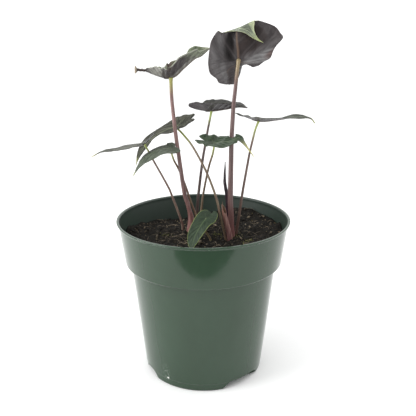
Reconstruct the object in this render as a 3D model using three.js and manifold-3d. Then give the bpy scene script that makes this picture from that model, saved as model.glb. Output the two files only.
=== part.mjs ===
// A dragon tooth alocasia in a green plastic nursery pot.
// Millimetres, +Z up. The origin is on the pot's axis, on the surface that the pot stands on.
// The front is -Y. The oldest leaf stands folded over at the top right (+X), and the others spread
// to both sides. Each leaf is a blade and a stalk, and each stalk stands in a hole in the soil.

import * as THREE from 'three';
import { mergeVertices } from 'three/addons/utils/BufferGeometryUtils.js';
import Module from 'manifold-3d';

const wasm = await Module();
wasm.setup();

// Pot
const potHeight = 144.6;
const lipRadius = 78;
const collarTopRadius = 74.8;
const collarFootRadius = 69.9;
const collarFootHeight = 105.6;
const bodyTopRadius = 63.6;
const bodyTopHeight = 94;
const baseRadius = 54.7;
const collarTopHeight = 141;
const wall = 1.7;
const floorThickness = 2;
const potSegments = 40;

// Drain recesses round the pot's foot, each with a slot through the wall behind it
const drainAngles = [-57, 123, -152, 28];
const drainWidth = 33;
const drainHeight = 5.6;
const drainDepth = 9;
const drainWall = 1.6;
const drainSlotLength = 11;
const drainSlotWidth = 3.4;

// Soil
const soilHeight = 124.5;
const soilLumps = 0.54;
const soilRings = [1, 0.88, 0.74, 0.6, 0.46, 0.32, 0.16, 0];

// The room left between pieces that stand in or on each other
const gap = 0.3;

// Leaves
const bladeThickness = 0.7;
const bladeColumns = 3;
const lobeTipShare = 0.44;
const sinusShare = 0.3;
const stemFoot = 113;
const stemSides = 8;

const colours = {
  pot: 0x4f6b58,
  soil: 0x2b211a,
  blade: 0x5a5452,
  greenBlade: 0x4d5b48,
  stalk: 0x7d5752,
  spike: 0x241c22,
  sheath: 0x9a6256,
};

// Each leaf lists its midrib from behind the sinus to the tip, the junction with the stalk second.
// 'faces' is the way its upper side looks at each of those points. 'rises' are the degrees by which
// the left and right halves rise from the midrib, at the back lobes, junction, middle and tip.
// A bump is a side (-1 left, 1 right), a place along, a spread, extra width in mm and extra degrees.
const leaves = {
  curled_leaf: {
    rib: [[-48.5, 14, 270.6], [-28, 15, 267], [-16.5, 13.4, 275], [-7.5, 12, 282], [-1.5, 12.5, 285], [5.6, 13, 291.6]],
    faces: [[0, 0, 1], [0, 0, 1], [-0.6, 0, 1], [-0.6, 0, 1], [-0.5, 0, 1], [-0.5, 0, 1]],
    halfWidth: 14,
    rises: [[20, 24], [34, 38], [30, 42], [60, 40]],
    wave: [1, 3, 0.4],
    taper: 1,
    bumps: [[-1, 0.1, 0.18, 2, 22], [-1, 0.64, 0.2, 4.5, 24]],
    tail: [1, 8.5, 0.9],
    aheadRows: 11,
    stalk: [[-14.7, 18, 124], [-15.1, 18, 138], [-17.6, 17, 156], [-19.2, 17, 170], [-22.6, 16, 201],
      [-24.5, 16, 216], [-26.1, 15, 232], [-27.6, 15, 250], [-28, 15, 266.3]],
    radii: [1.4, 1.7, 3.3],
    colour: 'blade',
  },
  back_leaf: {
    rib: [[-10.5, 29.5, 238.4], [7.2, 22, 237.5], [19, 17, 239.7], [30.2, 12, 242.2], [38.4, 8, 242.1]],
    faces: [[0, 0, 1], [0, 0, 1], [0, 0, 1], [0, 0, 1], [0, 0, 1]],
    halfWidth: 15.5,
    rises: [[30, 32], [33, 32], [20, 28], [16, 20]],
    lobes: [0.62, 1],
    wave: [0.7, 2.5, 0],
    stalk: [[-7.8, 24, 124], [-6, 23, 145], [-4.6, 23, 161], [-1, 22, 191], [1.4, 22, 205.5],
      [3.9, 22, 220], [5.9, 22, 230.4], [7.1, 22, 236.7]],
    radii: [0.8, 1.1, 1.3],
    colour: 'blade',
  },
  right_leaf: {
    rib: [[29, 14, 236], [48.3, 8, 230.8], [63, 6, 232], [75, 5, 233.9], [85.5, 4, 234.6], [93.2, 4, 233.2],
      [97, 4, 229]],
    faces: [[0, 0.1, 1], [0, 0.1, 1], [0, 0.1, 1], [0, -0.1, 1], [0, -0.15, 1], [0.4, 0, 1], [1, 0, 0.4]],
    halfWidth: 12,
    rises: [[-6, 6], [0, 13], [-2, 10], [0, 4]],
    wave: [0.6, 2.5, 1],
    taper: 1.4,
    stalk: [[30.8, 3, 124], [33.4, 3, 148], [35.5, 4, 168], [39.1, 5, 192], [40.8, 6, 202], [43.2, 7, 213],
      [45.6, 8, 223], [48.2, 8, 230]],
    radii: [0.8, 1.1, 1.4],
    colour: 'blade',
  },
  far_left_leaf: {
    rib: [[-40.7, 12, 221.4], [-52.4, 12, 209.8], [-64.4, 11, 207], [-76.8, 10, 204.7], [-85, 8, 204.3],
      [-92, 7, 202.7], [-99.8, 6, 198.5]],
    faces: [[-0.6, 0.1, 1], [-0.3, 0.1, 1], [0, 0.1, 1], [0, 0.1, 1], [0, 0.1, 1], [0, 0.1, 1], [-0.3, 0, 1]],
    halfWidth: 11,
    rises: [[8, 8], [8, 6], [4, 0], [0, 0]],
    wave: [0.6, 2.5, 2],
    taper: 1.7,
    stalk: [[-19.8, 22, 124], [-21, 21.4, 134], [-29.8, 19, 161], [-33.4, 18, 170], [-46.2, 16, 195.2],
      [-49.1, 14.5, 201.8], [-52.3, 12, 208.9]],
    radii: [0.7, 0.9, 1.1],
    colour: 'blade',
  },
  left_leaf: {
    rib: [[-9.3, 28, 230.2], [-24.8, 32, 221.6], [-36.6, 36, 216.5], [-48, 37, 211], [-55.6, 36, 202.6],
      [-60.4, 34, 193.6], [-63.3, 32, 185.5]],
    faces: [[-0.4, 0, 1], [-0.4, 0, 1], [-0.4, 0, 1], [-0.5, 0, 1], [-1, 0, 0.8], [-1, 0, 0.4],
      [-1, 0, 0.2]],
    halfWidth: 13.8,
    rises: [[8, 8], [0, 22], [8, 14], [10, 10]],
    wave: [0.5, 2, 0],
    stalk: [[19.2, -7, 124], [15.7, -7, 144.4], [12.1, -5, 162], [5.4, -1, 180.6], [-1.2, 3, 194],
      [-10.2, 15, 207.3], [-18, 25, 215], [-24.3, 32, 220.3]],
    radii: [0.7, 1, 1.2],
    colour: 'greenBlade',
  },
  low_left_leaf: {
    rib: [[-24, 12, 207.6], [-29.3, 9, 206], [-39.9, 5, 205], [-50.3, 1, 199.5], [-56.7, -2, 193],
      [-61.6, -4, 184.2]],
    faces: [[0.3, -0.2, 1], [0, -0.2, 1], [-0.2, -0.2, 1], [-0.5, -0.3, 1], [-0.8, -0.3, 1],
      [-1, -0.3, 0.6]],
    halfWidth: 12,
    rises: [[4, -6], [2, -6], [-4, -8], [-8, -8]],
    wave: [0.4, 2, 0],
    stalk: [[-4.4, 18, 124], [-7.5, 20, 140.6], [-12.4, 21, 154.7], [-17.2, 21, 170], [-22.7, 19.5, 184.5],
      [-26.6, 13, 194.6], [-29.2, 9, 205.1]],
    radii: [0.7, 0.9, 1.1],
    colour: 'greenBlade',
  },
  centre_leaf: {
    rib: [[-5.2, -6, 217.6], [9.7, -10, 214.6], [16, -14.2, 216.2], [21.7, -16.5, 216.7], [26.4, -18, 219.2],
      [29.8, -18.5, 220.1], [33.3, -20, 217.5], [38.1, -22, 211.4], [42.9, -24, 205.1]],
    faces: [[0, -0.1, 1], [0, -0.1, 1], [0, -0.15, 1], [0, -0.2, 1], [0, -0.2, 1], [0.4, -0.2, 1],
      [1, -0.3, 0.6], [1, -0.3, 0.3], [1, -0.3, 0.2]],
    halfWidth: 14,
    rises: [[8, 4], [10, 4], [2, 0], [0, 0]],
    wave: [1, 2.2, 1],
    taper: 1.6,
    stalk: [[-4.3, 13.5, 124], [-2, 13.5, 147.3], [-0.5, 13, 161], [3.2, 11, 181.4], [5.5, 7, 192.2],
      [8.2, 0, 202.8], [9.7, -9.5, 213.7]],
    radii: [0.7, 0.9, 1.1],
    colour: 'greenBlade',
  },
  small_leaf: {
    rib: [[9.4, -8.2, 153.4], [2.1, -13, 147.5], [-3.7, -20, 143.2], [-8.3, -31, 138.9], [-10.6, -42, 134.9],
      [-11.2, -50, 132.6]],
    faces: [[-0.4, -1, 0.6], [-0.4, -1, 0.6], [-0.4, -0.8, 0.8], [-0.3, -0.6, 1], [-0.3, -0.5, 1],
      [-0.3, -0.5, 1]],
    halfWidth: 10,
    rises: [[10, 10], [10, 10], [10, 10], [10, 10]],
    lobes: [1, 0.7],
    wave: [0.3, 2, 0],
    stalk: [[6.6, -7, 124], [5.5, -7.4, 128], [2.2, -9, 134.4], [1.6, -10, 140], [2.1, -12.4, 146.8]],
    radii: [0.7, 0.9, 1],
    colour: 'greenBlade',
  },
};

// The oldest leaf stands up with its underside to the front, and its tip is rolled over forwards.
// Its outline is drawn flat, in mm right of and above the junction, as rows of four points:
// left margin, left inner edge, right inner edge and right margin.
const foldedLeaf = {
  junction: [29.9, 3.6, 282],
  rows: [
    [[-8, -20.5], [-8, -20.5], [12, -5.6], [12, -5.6]],
    [[-14, -18.5], [-2.5, -18.8], [8, -3.8], [17, -4.2]],
    [[-17.5, -14.6], [0.6, -13], [6, -3.2], [21.5, -1]],
    [[-23.5, -10.5], [2.2, -7.5], [4.4, -3.6], [26.5, 1.8]],
    [[-25.6, -4], [3, -4.2], [3, -4.2], [29, 7.5]],
    [[-25.4, 1.5], [0, 0], [0, 0], [32, 12.3]],
    [[-24.6, 8], [-0.8, 8], [-0.8, 8], [36.8, 18.3]],
    [[-22.5, 15.5], [-1.6, 15], [-1.6, 15], [34.8, 21.8]],
    [[-17.5, 21], [-1.8, 21], [-1.8, 21], [29.5, 27.6]],
  ],
  // Where the blade rolls forwards: a line from this point, rising to the right
  rollStart: [-14, 22],
  rollRise: 21,
  rollRadius: 2,
  rollSag: 1.8,
  // Past the line: distance beyond it, then places along it of the left margin, midrib and right margin
  flap: [
    [-2, -0.4, 12.6, 32.5],
    [-0.4, 0.2, 13, 29],
    [1.2, 1.2, 13.8, 28.2],
    [2.8, 2.6, 14.8, 28.2],
    [4.4, 5.2, 16.5, 28.2],
    [7.6, 13.2, 19.5, 25.9],
    [11.8, 17.8, 21.8, 25.3],
    [16.4, 22.2, 24.3, 26],
    [20.7, 28.4, 28.4, 28.4],
  ],
  stalk: [[26, -1, 124], [25.2, -1, 136], [24.8, -1, 149], [24.1, -1, 161], [24.2, -1, 180], [24.3, -1, 194],
    [24.5, -1, 214.5], [25.2, -1, 232], [25.9, -1, 245.5], [27.1, -1, 258], [28.4, -0.4, 272],
    [29.6, 1.5, 281.2]],
  radii: [1.6, 1.9, 2.5],
};

// A new leaf still rolled into a spike, and an old leaf's sheath with a slanted open top
const spike = {
  path: [[22.5, 2, 124], [22.6, 2, 148], [21.1, 2, 164], [19.4, 2, 174], [19, 2, 183], [19.3, 2, 195]],
  radii: [1.1, 1.1, 0.9, 1.2, 1.3, 1, 0.45],
};
const sheath = {
  path: [[24, -7.2, 124], [22.4, -6.6, 136], [20.4, -6.2, 144], [17, -6, 158.5]],
  radii: [2.3, 2.3, 2.2, 2.2, 2],
  hollow: 1.3,
};

const vector = (p) => new THREE.Vector3(p[0], p[1], p[2]);
const radians = THREE.MathUtils.degToRad;

function material(name) {
  const roughness = name === 'pot' ? 0.38 : name === 'soil' ? 0.95 : 0.5;
  return new THREE.MeshStandardMaterial({ color: colours[name], roughness, metalness: 0 });
}

// Solids from closed meshes, and back
function toSolid(geometry) {
  const plain = geometry.clone();
  plain.deleteAttribute('normal');
  plain.deleteAttribute('uv');
  const merged = mergeVertices(plain, 1e-4);
  return new wasm.Manifold(new wasm.Mesh({
    numProp: 3,
    vertProperties: new Float32Array(merged.attributes.position.array),
    triVerts: new Uint32Array(merged.index.array),
  }));
}

function toGeometry(solid) {
  const mesh = solid.getMesh();
  const geometry = new THREE.BufferGeometry();
  geometry.setAttribute('position', new THREE.BufferAttribute(new Float32Array(mesh.vertProperties), 3));
  geometry.setIndex(new THREE.BufferAttribute(new Uint32Array(mesh.triVerts), 1));
  geometry.computeVertexNormals();
  return geometry;
}

function turned(profile, segments) {
  const points = profile.map(([r, z]) => new THREE.Vector2(r, z));
  const geometry = new THREE.LatheGeometry(points, segments);
  geometry.rotateX(Math.PI / 2);
  return geometry;
}

// Pot: a turned wall with a collar, a thin lip and four recesses with drain slots at its foot
const potOutside = [
  [0, 0], [baseRadius - 1.4, 0], [baseRadius - 0.3, 0.7], [baseRadius, 2.2],
  [bodyTopRadius, bodyTopHeight], [bodyTopRadius + 0.9, 96.6], [collarFootRadius - 1.3, 103],
  [collarFootRadius - 0.3, 104.1], [collarFootRadius, collarFootHeight], [collarTopRadius, collarTopHeight],
  [collarTopRadius + 0.5, 141.9], [lipRadius - 0.4, 142.2], [lipRadius, 142.9],
  [lipRadius, 143.9], [lipRadius - 0.6, potHeight],
];
const potInside = [
  [lipRadius - 1.7, potHeight], [collarTopRadius + 0.2, 143.6], [collarTopRadius - wall, collarTopHeight],
  [collarFootRadius - wall, collarFootHeight], [bodyTopRadius - wall + 0.6, 96.4],
  [bodyTopRadius - wall, bodyTopHeight], [baseRadius - wall, floorThickness + 1],
  [baseRadius - wall - 1, floorThickness], [0, floorThickness],
];

// The front outline of a drain recess, wider and higher by 'margin'
function drainOutline(margin) {
  const half = drainWidth / 2 + margin;
  const top = drainHeight + margin;
  const shape = new THREE.Shape();
  shape.moveTo(-half, -2);
  shape.lineTo(half, -2);
  shape.lineTo(half, 0.6);
  shape.lineTo(half * 0.62, top * 0.86);
  shape.lineTo(half * 0.34, top);
  shape.lineTo(-half * 0.34, top);
  shape.lineTo(-half * 0.62, top * 0.86);
  shape.lineTo(-half, 0.6);
  return shape;
}

// A recess as a block that reaches out past the pot
function drainBlock(angle, margin) {
  const inner = baseRadius - drainDepth - margin;
  const depth = lipRadius - inner;
  const geometry = new THREE.ExtrudeGeometry(drainOutline(margin), { depth, bevelEnabled: false });
  geometry.rotateX(Math.PI / 2);
  geometry.rotateZ(Math.PI);
  geometry.translate(0, inner, 0);
  geometry.rotateZ(radians(angle - 90));
  return toSolid(geometry);
}

function drainSlot(angle) {
  const geometry = new THREE.BoxGeometry(drainSlotLength, drainSlotWidth, 12);
  geometry.translate(0, baseRadius - wall - drainSlotWidth / 2 + 0.2, drainHeight + 2);
  geometry.rotateZ(radians(angle - 90));
  return toSolid(geometry);
}

function potGeometry() {
  let pot = toSolid(turned([...potOutside, ...potInside], potSegments));
  const room = toSolid(turned([[0, 0], [baseRadius - 1, 0], [baseRadius + 0.6, 20], [0, 20]], potSegments));
  for (const angle of drainAngles) {
    pot = pot.add(drainBlock(angle, drainWall).intersect(room));
    pot = pot.subtract(drainBlock(angle, 0));
    pot = pot.subtract(drainSlot(angle));
  }
  return toGeometry(pot);
}

// Soil: fills the pot, higher at the back and right, with a plain hole for each stem
function soilTop(x, y) {
  const slope = 0.035 * y + 0.02 * x;
  const lumps = Math.sin(x * 0.21 + 1) * Math.cos(y * 0.19) + 0.6 * Math.sin(x * 0.37 - y * 0.31);
  return soilHeight + slope + soilLumps * lumps;
}

// The inside radius of the pot's collar at a height
function collarInside(z) {
  const share = (z - collarFootHeight) / (collarTopHeight - collarFootHeight);
  return THREE.MathUtils.lerp(collarFootRadius, collarTopRadius, share) - wall;
}

function soilGeometry(stemHoles) {
  const side = 0.4;
  const topRadius = collarInside(soilHeight) - side;
  const profile = [
    [0, floorThickness + gap], [baseRadius - wall - 1.4, floorThickness + gap],
    [bodyTopRadius - wall - side, bodyTopHeight], [bodyTopRadius - wall + 0.6 - side, 96.6],
    [collarFootRadius - wall - side, collarFootHeight + 0.4],
  ];
  for (const share of soilRings) {
    profile.push([topRadius * share, soilHeight]);
  }
  const geometry = turned(profile, potSegments);
  const position = geometry.attributes.position;
  for (let i = 0; i < position.count; i += 1) {
    if (position.getZ(i) > soilHeight - 1) {
      const height = soilTop(position.getX(i), position.getY(i));
      const spread = (collarInside(height) - side) / topRadius;
      position.setXYZ(i, position.getX(i) * spread, position.getY(i) * spread, height);
    }
  }
  let soil = toSolid(geometry);
  for (const angle of drainAngles) {
    soil = soil.subtract(drainBlock(angle, drainWall + gap));
  }
  for (const hole of stemHoles) {
    soil = soil.subtract(hole);
  }
  return toGeometry(soil);
}

// Stems: a round section along a path, thicker at the foot
function stemRadius(radii, share) {
  const [top, middle, foot] = radii;
  const flare = Math.max(0, 1 - share / 0.22);
  return top + (middle - top) * (1 - share) + (foot - middle) * flare * flare;
}

// Radii listed evenly from the foot to the top
function listedRadius(radii, share) {
  const place = share * (radii.length - 1);
  const below = Math.min(Math.floor(place), radii.length - 2);
  return THREE.MathUtils.lerp(radii[below], radii[below + 1], place - below);
}

function stemPath(points, footHeight = stemFoot) {
  const path = points.map(vector);
  const foot = path[0].clone();
  foot.z = footHeight;
  return new THREE.CatmullRomCurve3([foot, ...path], false, 'catmullrom', 0.5);
}

function stemGeometry(path, radiusAt) {
  const steps = Math.max(6, Math.round(path.getLength() / 9));
  const section = new THREE.Shape();
  section.absarc(0, 0, 1, 0, 2 * Math.PI);
  const geometry = new THREE.ExtrudeGeometry(section, {
    steps, extrudePath: path, curveSegments: stemSides / 2, bevelEnabled: false,
  });
  const centres = path.getSpacedPoints(steps);
  const position = geometry.attributes.position;
  const point = new THREE.Vector3();
  for (let i = 0; i < position.count; i += 1) {
    point.fromBufferAttribute(position, i);
    let nearest = 0;
    for (let step = 1; step <= steps; step += 1) {
      if (centres[step].distanceTo(point) < centres[nearest].distanceTo(point)) {
        nearest = step;
      }
    }
    const radius = radiusAt(nearest / steps);
    point.sub(centres[nearest]).multiplyScalar(radius).add(centres[nearest]);
    position.setXYZ(i, point.x, point.y, point.z);
  }
  return geometry;
}

// The hole that a stem stands in: its lowest length, a gap wider and deeper
function stemHole(points, radiusAt) {
  const whole = stemPath(points).getLength();
  const path = stemPath(points.slice(0, 2), stemFoot - gap);
  const scale = path.getLength() / whole;
  return toSolid(stemGeometry(path, (share) => radiusAt(share * scale) + gap));
}

// Blades: half widths from the back lobes (-1) past the junction (0) to the tip (1)
function outerShare(v, taper) {
  if (v >= 0) {
    return Math.cos((Math.PI / 2) * v ** 1.2) ** taper;
  }
  return lobeTipShare + (1 - lobeTipShare) * Math.sqrt(Math.max(0, 1 - v * v));
}

function innerShare(v) {
  const k = Math.max(0, (-v - sinusShare) / (1 - sinusShare));
  return lobeTipShare * (0.5 * k + 0.5 * (1 - Math.sqrt(Math.max(0, 1 - k * k))));
}

// The rise of one half at v, eased between the listed places
function riseAt(leaf, side, v) {
  const places = [-1, 0, 0.5, 1];
  const column = side < 0 ? 0 : 1;
  let i = 0;
  while (i < 2 && v > places[i + 1]) {
    i += 1;
  }
  const share = THREE.MathUtils.smoothstep(v, places[i], places[i + 1]);
  return THREE.MathUtils.lerp(leaf.rises[i][column], leaf.rises[i + 1][column], share);
}

function curveThrough(points) {
  return new THREE.CatmullRomCurve3(points.map(vector), false, 'catmullrom', 0.5);
}

// The midrib's place and frame at v, measured evenly along each of its two parts
function ribFrame(leaf, v) {
  const curve = curveThrough(leaf.rib);
  const facing = curveThrough(leaf.faces);
  const atJunction = 1 / (leaf.rib.length - 1);
  const t = v < 0 ? atJunction * (1 + v) : atJunction + (1 - atJunction) * v;
  const place = curve.getPoint(t);
  const along = curve.getTangent(t);
  const across = along.clone().cross(facing.getPoint(t)).normalize();
  const normal = across.clone().cross(along).normalize();
  return { place, along, across, normal };
}

function bladePoint(leaf, side, v, u) {
  const lobe = (leaf.lobes ?? [1, 1])[side < 0 ? 0 : 1];
  const inLobe = Math.max(v, -1);
  const { place, along, across, normal } = ribFrame(leaf, inLobe < 0 ? inLobe * lobe : v);
  let inner = innerShare(inLobe) * leaf.halfWidth;
  let outer = outerShare(inLobe, leaf.taper ?? 1.15) * leaf.halfWidth;
  const [tailSide, tailLength, tailHalf] = leaf.tail ?? [0];
  if (side === tailSide && v <= -1) {
    const half = v < -1.8 ? tailHalf * 2.2 : tailHalf;
    inner -= half;
    outer += half;
    place.addScaledVector(along, (v + 1) * tailLength);
  }
  let rise = riseAt(leaf, side, v);
  for (const [bumpSide, middle, reach, width, degrees] of leaf.bumps ?? []) {
    const share = bumpSide === side ? Math.exp(-(((v - middle) / reach) ** 2)) : 0;
    outer += width * share;
    rise += degrees * share;
  }
  const x = inner + (outer - inner) * u;
  const angle = radians(rise);
  const [height, count, phase] = leaf.wave;
  const spread = x / leaf.halfWidth;
  const wave = height * Math.sin(2 * Math.PI * count * v + phase + side * 1.1) * spread * spread;
  return place.clone()
    .addScaledVector(across, side * x * Math.cos(angle))
    .addScaledVector(normal, x * Math.sin(angle) + wave);
}

// A closed slab round a sheet of triangles, split alike on both faces
function thicken(points, triangles, thickness) {
  const normals = points.map(() => new THREE.Vector3());
  for (const [a, b, c] of triangles) {
    const normal = points[b].clone().sub(points[a]).cross(points[c].clone().sub(points[a]));
    normals[a].add(normal);
    normals[b].add(normal);
    normals[c].add(normal);
  }
  const count = points.length;
  const position = new Float32Array(count * 6);
  points.forEach((point, i) => {
    const offset = normals[i].normalize().multiplyScalar(thickness / 2);
    point.clone().add(offset).toArray(position, i * 3);
    point.clone().sub(offset).toArray(position, (count + i) * 3);
  });
  const edges = new Map();
  const index = [];
  for (const [a, b, c] of triangles) {
    index.push(a, b, c, count + a, count + c, count + b);
    for (const [from, to] of [[a, b], [b, c], [c, a]]) {
      if (!edges.delete(`${to},${from}`)) {
        edges.set(`${from},${to}`, [from, to]);
      }
    }
  }
  for (const [from, to] of edges.values()) {
    index.push(from, count + from, count + to, from, count + to, to);
  }
  const geometry = new THREE.BufferGeometry();
  geometry.setAttribute('position', new THREE.BufferAttribute(position, 3));
  geometry.setIndex(index);
  geometry.computeVertexNormals();
  return geometry;
}

function bladeGeometry(pointAt, rows, columns, facesBack = false) {
  const points = [];
  const known = new Map();
  const triangles = [];
  const vertex = (point) => {
    const key = point.toArray().map((value) => value.toFixed(3)).join();
    if (!known.has(key)) {
      known.set(key, points.length);
      points.push(point);
    }
    return known.get(key);
  };
  const addTriangle = (a, b, c) => {
    if (a !== b && b !== c && c !== a) {
      triangles.push([a, b, c]);
    }
  };
  for (const side of [-1, 1]) {
    for (let row = 0; row < rows.length - 1; row += 1) {
      for (let column = 0; column < columns; column += 1) {
        const near = column / columns;
        const far = (column + 1) / columns;
        const a = vertex(pointAt(side, rows[row], near));
        const b = vertex(pointAt(side, rows[row], far));
        const c = vertex(pointAt(side, rows[row + 1], far));
        const d = vertex(pointAt(side, rows[row + 1], near));
        if ((side > 0) !== facesBack) {
          addTriangle(a, b, c);
          addTriangle(a, c, d);
        } else {
          addTriangle(a, c, b);
          addTriangle(a, d, c);
        }
      }
    }
  }
  return thicken(points, triangles, bladeThickness);
}

function bladeStations(leaf) {
  const rows = leaf.tail ? [-2, -1.82, -1.7, -1.3] : [];
  rows.push(-1, -0.94, -0.8, -0.55, -sinusShare, 0);
  const ahead = leaf.aheadRows ?? 9;
  for (let i = 1; i <= ahead; i += 1) {
    rows.push(i / ahead);
  }
  return rows;
}

// The folded leaf: a point of its flat drawing, then bent and rolled in space
function foldedPlace(x, y) {
  const leaf = foldedLeaf;
  const rise = radians(leaf.rollRise);
  const dx = x - leaf.rollStart[0];
  const dy = y - leaf.rollStart[1];
  const a = dx * Math.cos(rise) + dy * Math.sin(rise);
  const sag = leaf.rollSag * Math.sin(Math.PI * THREE.MathUtils.clamp(a / 28, 0, 1)) ** 2;
  let q = dy * Math.cos(rise) - dx * Math.sin(rise) + sag;
  const radius = leaf.rollRadius;
  let forward = 0;
  if (q > -radius) {
    const angle = (q + radius) / radius;
    if (angle < Math.PI) {
      q = -radius + radius * Math.sin(angle);
      forward = radius * (1 - Math.cos(angle));
    } else {
      const below = (angle - Math.PI) * radius;
      q = -radius - below;
      forward = 2 * radius + 0.12 * below;
    }
  }
  q -= sag;
  const right = leaf.rollStart[0] + a * Math.cos(rise) - q * Math.sin(rise);
  const above = leaf.rollStart[1] + a * Math.sin(rise) + q * Math.cos(rise);
  return { right, above, forward };
}

function foldedPoint(x, y) {
  const { right, above, forward } = foldedPlace(x, y);
  const cup = right < 0 ? 0.006 : 0.0035;
  const pleats = 0.7 * Math.sin(right * 0.42 + above * 0.16) * Math.min(1, Math.hypot(right, above) / 18);
  const back = cup * right * right + 0.05 * Math.abs(above) + pleats;
  const [jx, jy, jz] = foldedLeaf.junction;
  return new THREE.Vector3(jx + right, jy + back - forward, jz + above);
}

// One row of the folded leaf's drawing as [left margin, left inner, right inner, right margin]
function foldedRows() {
  const rise = radians(foldedLeaf.rollRise);
  const at = (a, q) => [
    foldedLeaf.rollStart[0] + a * Math.cos(rise) - q * Math.sin(rise),
    foldedLeaf.rollStart[1] + a * Math.sin(rise) + q * Math.cos(rise),
  ];
  const rows = [...foldedLeaf.rows];
  for (const [q, left, middle, right] of foldedLeaf.flap) {
    rows.push([at(left, q), at(middle, q), at(middle, q), at(right, q)]);
  }
  return rows;
}

function foldedBladeGeometry() {
  const rows = foldedRows();
  const stations = rows.map((_, i) => i);
  const pointAt = (side, row, u) => {
    const [leftOut, leftIn, rightIn, rightOut] = rows[row];
    const [from, to] = side < 0 ? [leftIn, leftOut] : [rightIn, rightOut];
    return foldedPoint(from[0] + (to[0] - from[0]) * u, from[1] + (to[1] - from[1]) * u);
  };
  return bladeGeometry(pointAt, stations, 4, true);
}

function sheathGeometry() {
  const radiusAt = (share) => listedRadius(sheath.radii, share);
  const path = stemPath(sheath.path);
  const outside = toSolid(stemGeometry(path, radiusAt));
  const hollow = toSolid(stemGeometry(path, () => sheath.hollow));
  const [x, y, z] = sheath.path[sheath.path.length - 1];
  const lower = new THREE.BoxGeometry(30, 30, 60);
  lower.translate(x, y, z - 30 - 9);
  const slant = new THREE.BoxGeometry(12, 12, 10);
  slant.rotateY(radians(-38));
  slant.translate(x + 4.6, y, z + 2.6);
  return toGeometry(outside.subtract(hollow.subtract(toSolid(lower))).subtract(toSolid(slant)));
}

function add(group, name, geometry, colour) {
  const mesh = new THREE.Mesh(geometry, material(colour));
  mesh.name = name;
  group.add(mesh);
}

const group = new THREE.Group();
const holes = [];

function addStem(name, points, radiusAt, colour, geometry) {
  add(group, name, geometry ?? stemGeometry(stemPath(points), radiusAt), colour);
  holes.push(stemHole(points, radiusAt));
}

add(group, 'folded_leaf_blade', foldedBladeGeometry(), 'blade');
addStem('folded_leaf_stalk', foldedLeaf.stalk, (share) => stemRadius(foldedLeaf.radii, share), 'stalk');
for (const [name, leaf] of Object.entries(leaves)) {
  const geometry = bladeGeometry((side, v, u) => bladePoint(leaf, side, v, u), bladeStations(leaf), bladeColumns);
  add(group, `${name}_blade`, geometry, leaf.colour);
  addStem(`${name}_stalk`, leaf.stalk, (share) => stemRadius(leaf.radii, share), 'stalk');
}
addStem('new_leaf_spike', spike.path, (share) => listedRadius(spike.radii, share), 'spike');
addStem('old_sheath', sheath.path, (share) => listedRadius(sheath.radii, share), 'sheath', sheathGeometry());
add(group, 'pot', potGeometry(), 'pot');
add(group, 'soil', soilGeometry(holes), 'soil');

export default group;
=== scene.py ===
import math
import random

import bmesh
import bpy
from mathutils import Matrix, Vector, noise


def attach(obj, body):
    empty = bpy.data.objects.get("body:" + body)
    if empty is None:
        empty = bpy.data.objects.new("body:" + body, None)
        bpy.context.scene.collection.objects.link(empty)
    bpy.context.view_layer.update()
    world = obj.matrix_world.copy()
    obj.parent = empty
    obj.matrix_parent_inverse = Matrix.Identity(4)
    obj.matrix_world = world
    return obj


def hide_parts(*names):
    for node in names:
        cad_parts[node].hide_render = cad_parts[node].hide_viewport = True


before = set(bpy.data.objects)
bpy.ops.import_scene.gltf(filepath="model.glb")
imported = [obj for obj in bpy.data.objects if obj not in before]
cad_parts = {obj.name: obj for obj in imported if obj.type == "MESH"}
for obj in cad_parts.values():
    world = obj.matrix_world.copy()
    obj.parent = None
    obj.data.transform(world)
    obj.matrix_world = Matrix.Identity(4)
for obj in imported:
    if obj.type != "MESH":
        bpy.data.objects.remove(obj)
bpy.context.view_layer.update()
mm = 0.001  # lists of points below are in millimetres


# Curves and small sums
def vectors(points):
    return [Vector(point) * mm for point in points]


def smoothStep(value, low, high):
    share = min(1, max(0, (value - low) / (high - low)))
    return share * share * (3 - 2 * share)


def mix(a, b, share):
    return a + (b - a) * share


# A point and a direction on a smooth curve through points, t from 0 to 1
def curveParts(points, t):
    spans = len(points) - 1
    i = min(max(int(t * spans), 0), spans - 1)
    p1, p2 = points[i], points[i + 1]
    p0 = points[i - 1] if i > 0 else 2 * p1 - p2
    p3 = points[i + 2] if i + 2 <= spans else 2 * p2 - p1
    square = 2 * p0 - 5 * p1 + 4 * p2 - p3
    cube = 3 * p1 - p0 - 3 * p2 + p3
    return p1, p2 - p0, square, cube, t * spans - i


def curvePoint(points, t):
    start, slope, square, cube, w = curveParts(points, t)
    return start + 0.5 * (slope * w + square * w ** 2 + cube * w ** 3)


def curveDirection(points, t):
    _, slope, square, cube, w = curveParts(points, t)
    return (slope + 2 * square * w + 3 * cube * w ** 2).normalized()


# Evenly spaced places along a curve, as values of t
def evenPlaces(points, count, samples=240):
    marks = [curvePoint(points, i / samples) for i in range(samples + 1)]
    lengths = [0]
    for a, b in zip(marks, marks[1:]):
        lengths.append(lengths[-1] + (b - a).length)
    places = []
    i = 0
    for step in range(count + 1):
        wanted = lengths[-1] * step / count
        while i < samples - 1 and lengths[i + 1] < wanted:
            i += 1
        span = max(lengths[i + 1] - lengths[i], 1e-9)
        places.append(min(1, (i + (wanted - lengths[i]) / span) / samples))
    return places, lengths[-1]


# Shader nodes
def feed(tree, value, socket):
    if isinstance(value, bpy.types.NodeSocket):
        tree.links.new(value, socket)
    elif isinstance(value, (tuple, list)) and len(value) == 3 and socket.type == 'RGBA':
        socket.default_value = (*value, 1)
    else:
        socket.default_value = value


def sumNode(tree, operation, *values):
    node = tree.nodes.new('ShaderNodeMath')
    node.operation = operation
    for value, socket in zip(values, node.inputs):
        feed(tree, value, socket)
    return node.outputs[0]


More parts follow.
